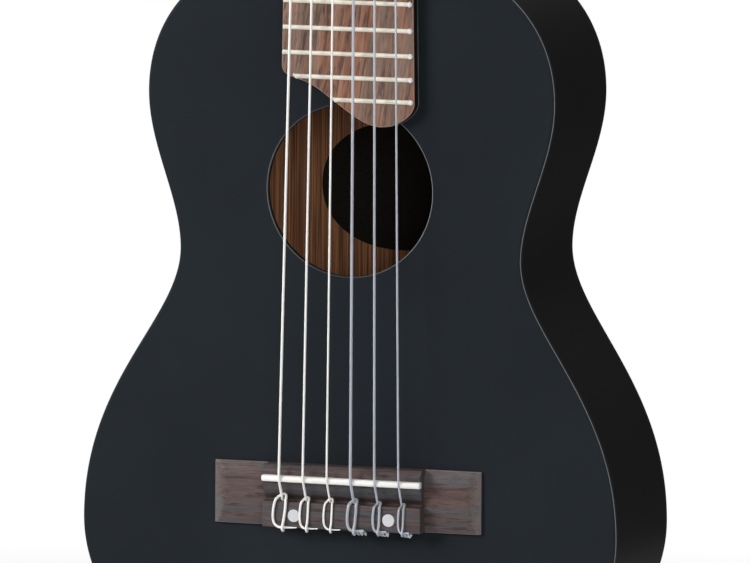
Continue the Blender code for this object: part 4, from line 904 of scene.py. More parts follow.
def make_soundboard():
    """Front plate: rounded rim and hole edge with painted glint lines, spruce inside, with fan struts.

    The hole's edge is palest to the treble side: its painted highlight follows the spoke's sideways part,
    strongest at the hole's sides and faint at its top and bottom.
    """
    look = bpy.context.scene.guitalele_body
    rim, edge = look.rim_radius, look.hole_edge_radius
    loop = body_loop()
    centre = np.array([0, SOUNDHOLE_Z])
    rows = [(0, 0, depth, growth) for depth, growth in fillet(edge)]
    rows += [(share, 0, 0, edge) for share in (0.004, 0.25, 0.5)]
    rows += [(share, rim, 0, edge) for share in (0.75, 0.995)]
    rim_start = len(rows)
    rows += [(1, inset, depth, edge) for inset, depth in fillet(rim)]
    inside = len(rows)
    rows += [(1, 0, PLATE_THICKNESS, 0), (1, RIB_THICKNESS, PLATE_THICKNESS, 0), (0, 0, PLATE_THICKNESS, 0)]
    finish = np.zeros(len(rows), int)
    finish[inside:inside + 2] = 1
    sideways = unit_rows(loop - centre)[:, 0]
    # Painted highlight round the hole's edge, and a full painted glint line on the rim's crest.
    wear = np.zeros((len(rows), len(loop)))
    hole_rings, rim_crest = slice(1, 6), rim_start + 4
    wear[hole_rings] = 0.12 + 0.3 * sideways ** 2 + 0.22 * np.maximum(sideways, 0)
    wear[rim_crest] = 1
    shells = [plate(loop, centre, rows, SOUNDHOLE_RADIUS, finish, wear)]
    shells += [fan_strut(index - STRUT_COUNT // 2) for index in range(STRUT_COUNT)]
    make_piece("front_plate", shells, [black_lacquer(), spruce()], replaces=["soundboard"])


def fan_strut(place):
    """A strut under the soundboard: its height follows a plateau scooped down at both ends."""
    top = np.array([place * 26 * MM, BODY_TOP - 158 * MM])
    low = np.array([place * 37 * MM, BODY_BOTTOM + 34 * MM + abs(place) * 10 * MM])
    t = np.linspace(0, 1, 25)[:, None]
    height = STRUT_HEIGHT * (0.25 + 0.75 * ease(unit(np.minimum(t, 1 - t) / STRUT_SCOOP)))
    x, z = ((top + (low - top) * t).T)[:, :, None]
    across, crown = arch(9, 0.4)
    y = PLATE_THICKNESS - GLUE_SINK + height * np.pad(0.15 + 0.85 * crown, 1)
    return skin(sheet(x + STRUT_HALF * across, y, z), finish=1)


def back_brace(z):
    """A brace from side to side: a plateau scooped down to its ends, rounded on its crest."""
    half = body_half()[::-1]
    reach = np.interp((z + BRACE_WIDTH / 2, z - BRACE_WIDTH / 2), half[:, 1], half[:, 0]).min()
    reach -= RIB_THICKNESS + LINING_DEPTH + LINING_GAP
    x = np.linspace(-reach, reach, 41)[:, None]
    plateau = ease(unit((1 - np.abs(x) / reach) / BRACE_SCOOP))
    height = BRACE_END_HEIGHT + (BACK_BRACE_HEIGHT - BRACE_END_HEIGHT) * plateau
    across, crown = arch(11, 0.6)
    y = INSIDE_DEPTH + GLUE_SINK - height * np.pad(0.7 + 0.3 * crown, 1)
    return skin(sheet(x, y, z + BRACE_WIDTH / 2 * across))


def make_back():
    """Back plate: rounded rim, black outside and bare wood inside, with its cross braces."""
    rim = bpy.context.scene.guitalele_body.rim_radius
    loop = body_loop()
    rows = [(share, 0, INSIDE_DEPTH, 0) for share in (0, 0.3, 0.6, 0.9, 1)]
    rim_start = len(rows)
    rows += [(1, depth, BODY_DEPTH - inset, 0) for inset, depth in fillet(rim)]
    rows += [(share, rim, BODY_DEPTH, 0) for share in (0.995, 0.9, 0.6, 0.3)] + [(0, 0, BODY_DEPTH, 0)]
    finish = np.zeros(len(rows) - 1, int)
    finish[:rim_start - 1] = 1
    wear = np.zeros((len(rows), 1))
    # Painted glint along the back's rounded rim.
    wear[rim_start + 2:rim_start + 4] = 0.36
    shell = plate(loop, np.array([0, BODY_TOP - 155 * MM]), rows, 0, finish, wear)
    make_piece("back_face", [shell], [black_lacquer(), back_wood()], replaces=["back_plate"])
    for number, drop in enumerate(BACK_BRACE_DROPS, 1):
        make_piece(f"back_brace_{number}", [back_brace(BODY_TOP - drop)], [brace_spruce()])


def make_side(side, word):
    """A bent side: a darker copy of the lacquer outside, as painted shade, bare wood and kerfed linings
    inside, bare beside the blocks.
    """
    half = body_half()
    out = outward(body_loop())[:len(half)]
    start = int(np.argmax(half[:, 0] > TENON_HALF))
    share = (TENON_HALF - half[start - 1, 0]) / (half[start, 0] - half[start - 1, 0])
    line = np.vstack([half[start - 1] + (half[start] - half[start - 1]) * share, half[start:]])
    out = np.vstack([out[start], out[start:]])
    out[-1] = (0, -1)
    upper = line[:, 1] > BODY_TOP - BLOCK_REACH
    block = np.where(upper, NECK_BLOCK_HALF, TAIL_BLOCK_HALF)
    near_block = upper | (line[:, 1] < BODY_BOTTOM + BLOCK_REACH)
    lining = LINING_DEPTH * np.where(near_block, unit((line[:, 0] - block) / LINING_DEPTH), 1)
    low, high = PLATE_THICKNESS, INSIDE_DEPTH
    wall = np.full(len(line), RIB_THICKNESS)
    lined = wall + lining
    inset, depth = zip(*[
        (0 * wall, low), (0 * wall, 0.35 * BODY_DEPTH), (0 * wall, 0.65 * BODY_DEPTH), (0 * wall, high),
        (lined, high), (lined, high - LINING_HEIGHT), (wall, high - LINING_HEIGHT - LINING_TAPER),
        (wall, low + LINING_HEIGHT + LINING_TAPER), (lined, low + LINING_HEIGHT), (lined, low),
    ])
    flat = line[:, None] - out[:, None] * np.stack(inset, 1)[:, :, None]
    grid = sheet(side * flat[..., 0], depth, flat[..., 1])
    finish = np.broadcast_to(np.array([0, 0, 0, 0, 2, 2, 1, 2, 2, 0]), (len(line) - 1, len(depth)))
    shell = skin(grid, finish=finish)
    finishes = [black_lacquer("side_lacquer"), back_wood(), kerfed_wood()]
    make_piece(f"side_{word}", [shell], finishes, replaces=[f"rib_{word}"])


def make_sides():
    make_side(1, "treble")
    make_side(-1, "bass")


def make_label():
    """A bare paper label, almost an ellipse, glued inside the back under the sound hole."""
    turn = -around(96)
    loop = LABEL_CENTRE + signed_power(sheet(np.cos(turn), np.sin(turn)), 0.93) * LABEL_HALVES
    rows = [(0, 0, 0.05, 0), (1, 0, 0.05, 0), (1, 0, -0.08, 0), (0.98, 0, -0.1, 0), (0, 0, -0.1, 0)]
    rows = [(share, inset, INSIDE_DEPTH + depth * MM, 0) for share, inset, depth, _ in rows]
    make_piece("paper_label", [plate(loop, LABEL_CENTRE, rows)], [shaded_label_paper()])


def dress_inner_wood():
    """The blocks, braces, bridge plate and bolts keep their shapes and get their finishes."""
    bolt = metal("bolt_metal", (0.6, 0.6, 0.6), 0.3)
    for material, nodes in (
        (block_wood(), ("neck_block", "tail_block")),
        (brace_spruce(), ("upper_brace", "lower_brace", "bridge_plate")),
        (bolt, ("bridge_bolt_bass", "bridge_bolt_treble")),
    ):
        for node in nodes:
            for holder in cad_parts[node].material_slots:
                holder.material = material


# Fingerboard, frets and nut

def fret_z(number):
    return -SCALE_LENGTH * (1 - 2 ** (-number / 12))


LAST_FRET_Z = fret_z(FRET_COUNT)


def board_half_width(z):
    return (NUT_WIDTH + (BOARD_END_WIDTH - NUT_WIDTH) * z / LAST_FRET_Z) / 2


def board_middle(z):
    """How far the board leans to the treble side of the strings' centre line at a height."""
    return BOARD_LEAN * np.clip(z / LAST_FRET_Z, 0, 1.1)


def board_end(inset=0.0, steps=40):
    """The board's end, from the bass corner along its long S to the lobe and up to the treble corner."""
    edge = BOARD_END_WIDTH / 2 - inset
    bass, treble = -edge / MM, edge / MM
    anchors = np.array([
        [(bass, 13.6), (bass, 13.6), (bass, 9.8)],
        [(-25.4, 9), (-20.4, 7.6), (-14.9, 6.1)],
        [(-11.8, 3.5), (-6.1, -0.5), (0.15, -4.8)],
        [(7.1, -10.5), (13.8, -10.5), (21, -10.5)],
        [(treble, -5.6), (treble, -0.4), (treble, -0.4)],
    ]) * MM
    anchors[1:4, :, 1] += inset
    line = bezier_chain(anchors, steps)
    line[:, 0] *= board_half_width(LAST_FRET_Z + line[:, 1]) / (BOARD_END_WIDTH / 2)
    line[:, 1] += LAST_FRET_Z
    line[:, 0] += board_middle(line[:, 1])
    return line


def board_loop():
    """The whole fingerboard, clockwise: nut edge, treble side, end curve and bass side."""
    end = board_end()[::-1]
    nut = sheet(np.linspace(-NUT_WIDTH / 2, NUT_WIDTH / 2, 25), -HAIR)
    t = np.linspace(0, 1, 60)[1:-1, None]
    return np.vstack([nut, nut[-1] + (end[0] - nut[-1]) * t, end, end[-1] + (nut[0] - end[-1]) * t])


def make_fingerboard():
    """Rosewood board with softened edges and dyed sides, a painted pale highlight on its top edges, and the
    bead of lacquer round its foot, painted pale as a highlight line.
    """
    bevel = bpy.context.scene.guitalele_board.edge_bevel
    top = -BOARD_THICKNESS
    rows = [(0, 0, top, 0), (0.5, bevel, top, 0), (0.97, bevel, top, 0)]
    rows += [(1, inset, top + depth, 0) for inset, depth in fillet(bevel, 5)]
    dyed = len(rows)
    rows += [(1, 0, top + bevel + 0.05 * MM, 0), (1, 0, 0, 0), (0, 0, 0, 0)]
    finish = np.zeros(len(rows) - 1, int)
    finish[dyed:] = 1
    wear = np.zeros((len(rows), 1))
    # Painted highlight on the rounded top edges.
    wear[dyed - 4:dyed - 1] = 1
    shell = plate(board_loop(), np.array([0, LAST_FRET_Z / 2]), rows, 0, finish, wear)
    finishes = [board_rosewood(), edge_black()]
    make_piece("rosewood_board", [shell], finishes, replaces=["fingerboard"])
    root = BODY_TOP - 2 * MM
    reach, middle = board_half_width(root) + BEAD_GAP, board_middle(root)
    line = np.vstack([[[middle - reach, root]], board_end(-BEAD_GAP), [[middle + reach, root]]])
    line = even_line(line, 260)
    bead = tube(sheet(line[:, 0], -HAIR, line[:, 1]), BEAD_RADIUS, 10)
    make_piece("board_foot_bead", [bead], [glint_bead_lacquer()])


def make_frets():
    """Crowned wires: half an ellipse across, cut and flared at the bass end, a ball at the treble end; both
    ends carry a painted white highlight.
    """
    look = bpy.context.scene.guitalele_board
    curve = board_end(FRET_BASS_INSET, 80)
    curve = curve[:int(np.argmin(curve[:, 1])) + 1]
    half, ball = look.fret_width / 2, look.fret_ball
    across, crown = arch(15, 0.8)
    height = np.pad(look.fret_height * crown, 1, constant_values=-FRET_SINK)
    place = half * across
    near = ball * (1 - np.cos(np.linspace(0, math.pi, 17)))
    for number in range(1, FRET_COUNT + 1):
        z = fret_z(number)
        treble = board_middle(z) + board_half_width(z) - FRET_TREBLE_INSET
        bass = board_middle(z) - board_half_width(z) + FRET_BASS_INSET + 0 * place
        if z - half < curve[0, 1]:
            bass = np.interp(z - half + 0.25 * MM, curve[::-1, 1], curve[::-1, 0]) - 0.7 * (place + half)
        length = treble - bass.mean()
        s = np.concatenate([near / length, np.linspace(0.08, 0.92, 7), 1 - near[::-1] / length])[:, None]
        run = np.minimum(s, 1 - s) * length
        bead = np.sqrt(unit(1 - (1 - run / ball) ** 2)) * ball / half
        full = np.where(run < ball, bead, np.maximum(bead, 1))
        flare = 1 + 0.3 * unit(1 - run / FRET_FLARE)
        full = np.maximum(np.where(s < 0.5, unit(run / (0.25 * MM)) ** 0.5 * flare, full), 0.04)
        # Painted highlight: all of the treble ball, and part of the bass end's flare.
        white = np.where(s < 0.5, 2 * (flare - 1), (full > 1.02) | (run < ball))
        y = -BOARD_THICKNESS - np.where(height > 0, height * full, height)
        shell = skin(sheet(bass + (treble - bass) * s, y, z + place * full), wear=white)
        name, node = f"fret_wire_{number:02d}", f"fret_{number:02d}"
        make_piece(name, [shell], [fret_metal()], replaces=[node], sharp=50)


def string_x(index, z):
    spread = NUT_SPREAD + (SADDLE_SPREAD - NUT_SPREAD) * z / SADDLE_Z
    return (index / 5 - 0.5) * spread


def make_nut():
    """Nut: a rounded back, and a round grooved seat for each string, cut into a fine height grid."""
    x = np.linspace(-NUT_WIDTH / 2, NUT_WIDTH / 2, 321)[:, None]
    z = np.array([0, 0, 0.3, 0.8, 1.6, 2.4, 3.2, 3.9, 4.5, 4.9, 5, 5]) * MM
    top = np.array([0, 6.6, 7.3, 7.55, 7.6, 7.55, 7.35, 7.0, 6.4, 5.7, 4.9, 0]) * MM
    height = top
    fall = unit((z - NUT_THICKNESS / 2) / (NUT_THICKNESS / 2)) * 1.6 * MM
    for index, diameter in enumerate(STRING_DIAMETERS):
        reach = diameter / 2 + 0.12 * MM
        away = np.abs(x - string_x(index, 0)) / reach
        floor = STRING_REST_AT_NUT + reach * (1 - np.sqrt(unit(1 - away ** 2)))
        height = np.minimum(height, np.where((top > 0) & (away < 1), floor - fall, height))
    ends = unit((NUT_WIDTH / 2 - np.abs(x)) / (0.5 * MM))
    height = np.where(top > 0, height - 0.35 * MM * (1 - ends) ** 2, height)
    finish = bone("nut_bone", (0.8, 0.78, 0.71), 0.3)
    make_piece("bone_nut", [skin(sheet(x, -height, z))], [finish], replaces=["nut"])


# Neck and headstock

def head_outline():
    """Half width of the headstock against height, from the nut to its crest."""
    nut, length = NUT_WIDTH / 2 / MM, HEAD_LENGTH / MM
    anchors = np.array([
        ((nut, 5), (nut, 5), (nut, 16.5)),
        ((33.5, 32.6), (33.5, 51), (33.5, 74)),
        ((29, 127.5), (29, 150.5), (29, 158.95)),
        ((20.3, 162.2), (2.9, length), (2.9, length)),
    ]) * MM
    return bezier_chain(anchors, 26)


def neck_rows():
    """Rows of (z, half width, front, depth, power, edge radius) from the crest down to the heel's foot."""
    look = bpy.context.scene.guitalele_neck

    def board_rows(z, depth, power):
        return sheet(z, board_half_width(z), 0, depth, power, BOARD_SEAT_EDGE)
    half, z = head_outline()[::-1].T
    front = np.maximum(0, z - NUT_THICKNESS) * math.tan(HEAD_ANGLE)
    share = unit((z - NUT_THICKNESS) / HEAD_BLEND)
    depth = NECK_DEPTH_AT_NUT + (HEAD_THICKNESS / math.cos(HEAD_ANGLE) - NECK_DEPTH_AT_NUT) * share
    edge = look.head_edge_radius * np.clip((z - 7 * MM) / (6 * MM), 0.04, 1)
    head = sheet(z, half, front, depth, NECK_POWER + HEAD_POWER * share ** 1.5, edge)
    down = np.linspace(0.005, 1, 40)
    depth = NECK_DEPTH_AT_NUT + (NECK_DEPTH_AT_HEEL - NECK_DEPTH_AT_NUT) * down
    neck = board_rows(HEEL_TOP * down, depth, NECK_POWER)
    turn = quarter(41)[1:]
    swell = 1 - np.cos(turn)
    depth = NECK_DEPTH_AT_HEEL + (HEEL_DEPTH - NECK_DEPTH_AT_HEEL) * swell
    heel = board_rows(HEEL_TOP - HEEL_CURVE * np.sin(turn), depth, NECK_POWER - 0.4 * swell)
    foot = board_rows(np.linspace(heel[-1, 0], BODY_TOP - 9 * MM, 6)[1:], HEEL_DEPTH, 2)
    return np.vstack([head, neck, heel, foot])


def neck_surface():
    """Superellipse half rings: x = w sign(cos t) |cos t|^(2/p), y = front + d sin(t)^(2/p).

    They end at the heel's cap. The heel's foot follows the body's outline, and the corners beside the
    face are quarter circles.
    """
    z, half, front, depth, power, edge = (column[:, None] for column in neck_rows().T)
    cap = BODY_DEPTH - HEEL_CAP_GAP
    reach = np.minimum(np.arcsin(unit(cap / depth) ** (power / 2)), 0.75 * math.pi / 2)
    rising = np.linspace(0, 1, 22)[None] * reach
    over = reach + (math.pi - 2 * reach) * np.linspace(0, 1, 23)[None, 1:-1]
    turn = np.hstack([rising, over, math.pi - rising[:, ::-1]])
    x = half * signed_power(np.cos(turn), 2 / power)
    y = np.maximum(front + depth * unit(np.sin(turn)) ** (2 / power), front + edge)
    y = np.where(z < 0, np.minimum(y, cap), y)
    bend = quarter(5)[None, :-1]
    corner_x = half - edge * (1 - np.sin(bend))
    corner_y = front + edge * (1 - np.cos(bend))
    x = np.hstack([corner_x, x, -corner_x[:, ::-1]])
    y = np.hstack([corner_y, y, corner_y[:, ::-1]])
    outline = body_half()
    outline = outline[:int(np.argmax(outline[:, 0] > 60 * MM))]
    foot = np.interp(np.abs(x), outline[:, 0], outline[:, 1]) + SEAT_GAP
    return skin(sheet(x + board_middle(z), y, np.maximum(z, foot)))


def make_neck():
    """Neck, carved heel and headstock in one, with its tenon, drilled for the posts."""
    half, low, high = TENON_HALF - SEAT_GAP, BODY_TOP - 14 * MM, BODY_TOP + 2 * MM
    front, back, edge = 8 * MM, 52 * MM, 0.5 * MM
    corners = np.array([(-half, low), (-half, high), (half, high), (half, low)])
    rows = [(0, 0, front, 0), (1, edge, front, 0), (1, 0, front + edge, 0)]
    rows += [(1, 0, back - edge, 0), (1, edge, back, 0), (0, 0, back, 0)]
    tenon = plate(round_corners(corners, 1 * MM), np.array([0, BODY_TOP - 6 * MM]), rows)
    shells = [neck_surface(), tenon]
    neck = make_piece("carved_neck", shells, [black_lacquer()], replaces=["neck"])
    path = np.array([(0, 0, 4), (0, 0, -8), (0, 0, -20)]) * MM
    hole = tube(path, POST_HOLE_RADIUS, 32, blunt=True)
    carve(neck, [placed(hole, head_place(tuner)) for tuner in range(TUNER_COUNT)], "peg_holes")


# Tuning machines

def tuner_side(tuner):
    """1 for the three machines on the treble side and -1 for those on the bass side."""
    return 1 if tuner < 3 else -1


def head_place(tuner):
    """Frame of a tuner: on the headstock's face at the post, Z out of the face, Y up the head."""
    side = tuner_side(tuner)
    rise = FIRST_POST_RISE + (tuner if side > 0 else 5 - tuner) * POST_SPACING
    s, c = math.sin(HEAD_ANGLE), math.cos(HEAD_ANGLE)
    return np.array([
        [1, 0, 0, side * POST_OFFSET],
        [0, s, -c, rise * s],
        [0, c, s, NUT_THICKNESS + rise * c],
        [0, 0, 0, 1],
    ])


def button_place(tuner):
    """Frame of a worm and its button: Z along the shaft, away from the headstock."""
    side = tuner_side(tuner)
    local = np.array([[0, 0, side, 0], [0, 1, 0, -WORM_DEPTH], [-side, 0, 0, -WORM_LEVEL], [0, 0, 0, 1]])
    return head_place(tuner) @ local


def rounded_box(low_x, low_y, high_x, high_y, radius):
    """Rectangle whose corners are quarter circles, clockwise."""
    corners = []
    for x, y, start in (
        (high_x - radius, high_y - radius, 0), (high_x - radius, low_y + radius, -math.pi / 2),
        (low_x + radius, low_y + radius, -math.pi), (low_x + radius, high_y - radius, -1.5 * math.pi),
    ):
        turn = quarter(9)[::-1] + start
        corners.append(sheet(x + radius * np.cos(turn), y + radius * np.sin(turn)))
    return np.vstack(corners)


def tuner_plate(middle, rows, hole=0.0):
    """A plate in the outline of a tuner's base, from rows in millimetres, facing out of the headstock."""
    loop = rounded_box(-7.95 * MM, -14.1 * MM, 7.95 * MM, 7.95 * MM, 3 * MM)
    rows = [(share, inset * MM, depth * MM, growth * MM) for share, inset, depth, growth in rows]
    swap_depth = [[1, 0, 0, 0], [0, 0, 1, 0], [0, 1, 0, 0], [0, 0, 0, 1]]
    return placed(plate(loop, np.array(middle), rows, hole), swap_depth)


def make_cover(tuner):
    """Pressed gear cover with a sunk panel, its base plate, and the ferrule through to the face."""
    place = head_place(tuner)
    rows = [(0, 0, -24.4, 0), (1, 2, -24.4, 0), (1, 1.3, -23.8, 0), (1, 1.3, -15.3, 0), (1, 0.5, -15.3, 0)]
    rows += [(1, 0.5, -19, 0)]
    rows += [(1, 0.5 + depth, inset - 25.3, 0) for inset, depth in fillet(1.5)]
    rows += [(1, 3, -25.3, 0), (1, 3.25, -25.28, 0), (1, 3.6, -25.05, 0), (1, 3.9, -25, 0)]
    rows += [(0.5, 3.9, -25, 0), (0, 0, -25, 0)]
    cover = tuner_plate((0, -3 * MM), rows)
    rows = [(0, 0, -14.35, 0.3), (1, 0.2, -14.35, 0.3), (1, 0, -14.5, 0.3)]
    rows += [(1, 0, -15.1, 0.3), (1, 0.15, -15.25, 0.3), (0, 0, -15.25, 0.3)]
    base = tuner_plate((0.0, 0.0), rows, WINDING_RADIUS)
    ferrule = np.array([
        (3.35, -15.2), (3.35, -7), (3.35, 1.1), (3.45, 1.35), (3.7, 1.5), (4.6, 1.5), (5.2, 1.35),
        (5.55, 0.95), (5.6, 0.5), (5.55, 0.3), (4.4, 0.3), (4.4, -7), (4.4, -15.2),
    ]) * MM
    name = f"tuner_{tuner + 1}"
    cover = make_piece(f"{name}_cover", [placed(cover, place)], [chrome()])
    path = np.array([(5, 0, 0), (8, 0, 0), (11, 0, 0)]) * MM * tuner_side(tuner)
    hole = tube(path - (0, WORM_DEPTH, WORM_LEVEL), 2.15 * MM, 24, blunt=True)
    carve(cover, [placed(hole, place)], "shaft_hole")
    shells = [placed(base, place), placed(turned(ferrule, 40, ring=True), place)]
    make_piece(f"{name}_base", shells, [chrome()], replaces=[f"{name}_housing"])


def make_post(tuner):
    """String post with its gear, and the string's turns round its waist."""
    place = head_place(tuner)
    radius = STRING_DIAMETERS[5 - tuner] / 2
    waist = (WINDING_RADIUS - 2 * radius) / MM - 0.02
    profile = np.array([
        (0, 13), (1.2, 13), (1.6, 12.8), (2.4, 12.8), (2.9, 12.65), (3.2, 12.3), (3.3, 11.8), (3.3, 10.3),
        (3.2, 9.9), (waist, 9.2), (waist, 8.4), (waist, 3.6), (waist, 3.1), (3, 2.8), (3, 1), (3, -8),
        (3, -17.9), (3, -21.8), (2.8, -21.9), (0, -21.9),
    ]) * MM
    shells = [placed(turned(profile, 40), place), placed(gear_surface(), place)]
    name, body = f"tuner_{tuner + 1}", f"post_{tuner + 1}"
    make_piece(f"{name}_string_post", shells, [chrome()], body, [f"{name}_post"])
    low, high = WINDING_START + radius, WINDING_END - radius
    turns = (high - low) / (2 * radius + 0.05 * MM)
    t = np.linspace(0, 1, int(turns * 28))
    angle = tuner_side(tuner) * 2 * math.pi * turns * t
    centre = WINDING_RADIUS - radius
    path = sheet(centre * np.cos(angle), centre * np.sin(angle), low + (high - low) * t)
    material, slot = string_looks(tuner >= TUNER_COUNT - WOUND_COUNT)
    shell = placed(tube(path, radius, 12), place)
    make_piece(f"string_{tuner + 1}_turns", [shell], [material], body, sharp=60)


def gear_surface():
    """Gear with leaning teeth: each tooth's flanks fall in straight lines from its tip to its root."""
    pitch = 2 * math.pi / GEAR_TEETH
    tooth = np.arange(GEAR_TEETH)[:, None] * pitch - math.pi / 2
    turn = (tooth + np.array([-0.3, -0.07, 0.07, 0.3]) * pitch).reshape(-1)
    radius = np.tile([GEAR_ROOT, GEAR_TIP, GEAR_TIP, GEAR_ROOT], GEAR_TEETH)
    lean = WORM_LEAD / (2 * math.pi * WORM_RADIUS)
    ends = np.array([-GEAR_HALF, GEAR_HALF])[:, None]
    turn = turn[None] + ends * lean / GEAR_PITCH_RADIUS
    return skin(sheet(radius * np.cos(turn), radius * np.sin(turn), ends - WORM_LEVEL))


def worm_surface():
    """Single start thread: its radius rises and falls with the turn less the height over the lead."""
    count = int(round(2 * WORM_HALF / WORM_LEAD * 6))
    level = np.linspace(-WORM_HALF, WORM_HALF, count + 1)[:, None]
    turn = around(8)[None]
    phase = level / WORM_LEAD - turn / (2 * math.pi) + 0.25
    radius = WORM_RADIUS + 0.7 * MM * np.clip(2.2 * np.cos(2 * math.pi * (phase - 0.5)), -1, 1)
    radius[[0, -1]] = 1.8 * MM
    return skin(sheet(radius * np.cos(turn), radius * np.sin(turn), level))


def button_surface():
    """Oval button: superellipse rings along a smooth profile, sunk a little in both broad faces."""
    rows = np.array([
        (1.9, 1.9, 13.7), (2.89, 2.54, 14.55), (5.27, 3.28, 16.65), (7.99, 3.69, 20.7), (8.5, 3.94, 24.15),
        (7.65, 3.61, 27), (5.1, 2.46, 28.75), (2.2, 1, 29.15),
    ]) * MM
    across, deep, level = (column[:, None] for column in smooth_path(rows, 6).T)
    turn = around(48)[None]
    middle = np.exp(-((level - 22 * MM) / (4.2 * MM)) ** 2)
    y = deep * signed_power(np.sin(turn), 0.85) * (1 - 0.22 * middle * np.sin(turn) ** 6)
    return skin(sheet(across * signed_power(np.cos(turn), 0.85), y, level))


def make_button(tuner):
    """Worm, shaft with its collar, and button, which turn together."""
    shaft = np.array([
        (0, -3.75), (1.78, -3.75), (1.78, 0), (1.78, 8.25), (2.6, 8.25), (3.0, 8.35), (3.1, 8.6),
        (3.1, 9.1), (3.0, 9.4), (2.2, 9.6), (1.85, 9.9), (1.8, 11), (1.8, 14.2), (0, 14.2),
    ]) * MM
    place = button_place(tuner)
    shells = [placed(shell, place) for shell in (worm_surface(), turned(shaft, 32), button_surface())]
    name, body = f"tuner_{tuner + 1}", f"button_{tuner + 1}"
    make_piece(f"{name}_knob", shells, [chrome()], body, [f"{name}_button"])


def make_tuners():
    for tuner in range(TUNER_COUNT):
        make_cover(tuner)
        make_post(tuner)
        make_button(tuner)


# Bridge

def edged(half, count):
    """Places from -half to half, with two more close to each edge than the even ones."""
    even = np.linspace(WING_EDGE - half, half - WING_EDGE, count)
    return np.concatenate([[-half, WING_LIP - half], even, [half - WING_LIP, half]])


def make_bridge():
    """Bridge: wings as high as the soft minimum of a crown and four slopes, and the block between."""
    middle, half, end = (BRIDGE_TOP + BRIDGE_BOTTOM) / 2, BRIDGE_WIDTH / 2, BRIDGE_LENGTH / 2
    edge, soft = WING_EDGE, 0.12 * MM
    x, z = edged(end, 181)[:, None], -edged(half, 49)
    side_slope = 2.1 * MM + np.where(z > 0, half - z, (half + z) * 0.62) / (4.6 * MM) * 1.8 * MM
    end_slope = 1.3 * MM + (end - np.abs(x)) / (4.9 * MM) * 2.6 * MM
    slopes = np.stack(np.broadcast_arrays(side_slope, end_slope, WING_CROWN))
    rise = -soft * np.log(np.exp(-slopes / soft).sum(0))
    corner = np.minimum(unit((half - np.abs(z)) / edge), unit((end - np.abs(x)) / edge))
    rise -= edge * (1 - np.sqrt(1 - (1 - corner) ** 2))
    # Painted highlight: the end facets and all rounded edges of the wings are paled.
    painted_highlight = 0.45 * unit(1 - (end - np.abs(x)) / (5.2 * MM)) * (end_slope <= side_slope)
    sides = ((0, 0), (1, 1))
    wear = np.pad(np.where(corner < 1, 1, painted_highlight), sides)
    y, z = -np.pad(rise, sides), np.pad(z, 1, "edge")
    inside = np.abs(x) < BLOCK_LENGTH / 2 - 0.6 * MM
    y = np.where(inside, np.maximum(y, -1.5 * MM), y)
    z = middle + np.where(inside, z * 0.95, z)
    wings = skin(sheet(x + 0.35 * MM, y, z), wear=wear)
    finish = bridge_rosewood("wing_rosewood", (0.92, 0.94, 0.96))
    make_piece("rosewood_bridge", [wings], [finish])
    finish = bridge_rosewood("block_rosewood", (0.74, 0.81, 0.87))
    block = make_piece("tie_block", [block_shell()], [finish], replaces=["bridge"])
    z = np.linspace(TIE_FRONT + 0.7 * MM, BRIDGE_BOTTOM - 1 * MM, 3)
    paths = [sheet(string_x(index, TIE_FRONT), -TIE_HOLE_HEIGHT, z) for index in range(len(TIES))]
    carve(block, [tube(path, TIE_HOLE_RADIUS, 20, blunt=True) for path in paths], "tie_holes")


def block_shell():
    """The block's section with soft corners, carried along the saddle, its channel darkened with painted
    shade.
    """
    section = np.array([
        (BLOCK_FOOT, BRIDGE_TOP), (6.4 * MM, BRIDGE_TOP), (TIE_BLOCK_HEIGHT, SADDLE_Z + 2.75 * MM),
        (8.4 * MM, SADDLE_Z - 1.5 * MM), (7.6 * MM, SADDLE_Z - 4.5 * MM), (6.1 * MM, TIE_FRONT + 2.8 * MM),
        (CHANNEL_FLOOR, TIE_FRONT + 1.4 * MM), (CHANNEL_FLOOR, TIE_FRONT),
        (TIE_BLOCK_HEIGHT, TIE_FRONT), (TIE_BLOCK_HEIGHT, BRIDGE_BOTTOM), (BLOCK_FOOT, BRIDGE_BOTTOM),
    ])
    shell = bar(round_corners(section, 0.45 * MM), BLOCK_LENGTH, 0.35 * MM)
    _, y, z = shell["points"].T
    low, high = 0.5 * MM - CHANNEL_FLOOR, 0.5 * MM - TIE_BLOCK_HEIGHT
    channel = (y < low) & (y > high) & (z > TIE_FRONT - 0.2 * MM)
    # Painted shade in the channel, darkest towards the tie block's front wall.
    shell["wear"] = np.where(channel, -unit((TIE_FRONT + 3.9 * MM - z) / (2.6 * MM)), 0)
    return shell


def make_saddle():
    """Saddle: a round topped strip, softened at its ends, which leans a little from bass to treble."""
    half, foot = SADDLE_THICKNESS / 2, TIE_BLOCK_HEIGHT - 0.4 * MM
    turn = np.linspace(0, math.pi, 13)
    top = sheet(SADDLE_TOP - half * 0.75 * (1 - np.sin(turn)), SADDLE_MIDDLE + half * np.cos(turn))
    section = np.vstack([(foot, SADDLE_MIDDLE + half), top, (foot, SADDLE_MIDDLE - half)])
    lean = [[1, 0, 0, 0], [0, 1, 0, 0], [-SADDLE_TILT, 0, 1, 0], [0, 0, 0, 1]]
    shell = placed(bar(section, SADDLE_LENGTH, 0.5 * MM, 0.45 * MM), lean)
    finish = bone("saddle_bone", (0.98, 0.97, 0.94), 0.32)
    make_piece("bone_saddle", [shell], [finish], replaces=["saddle"])


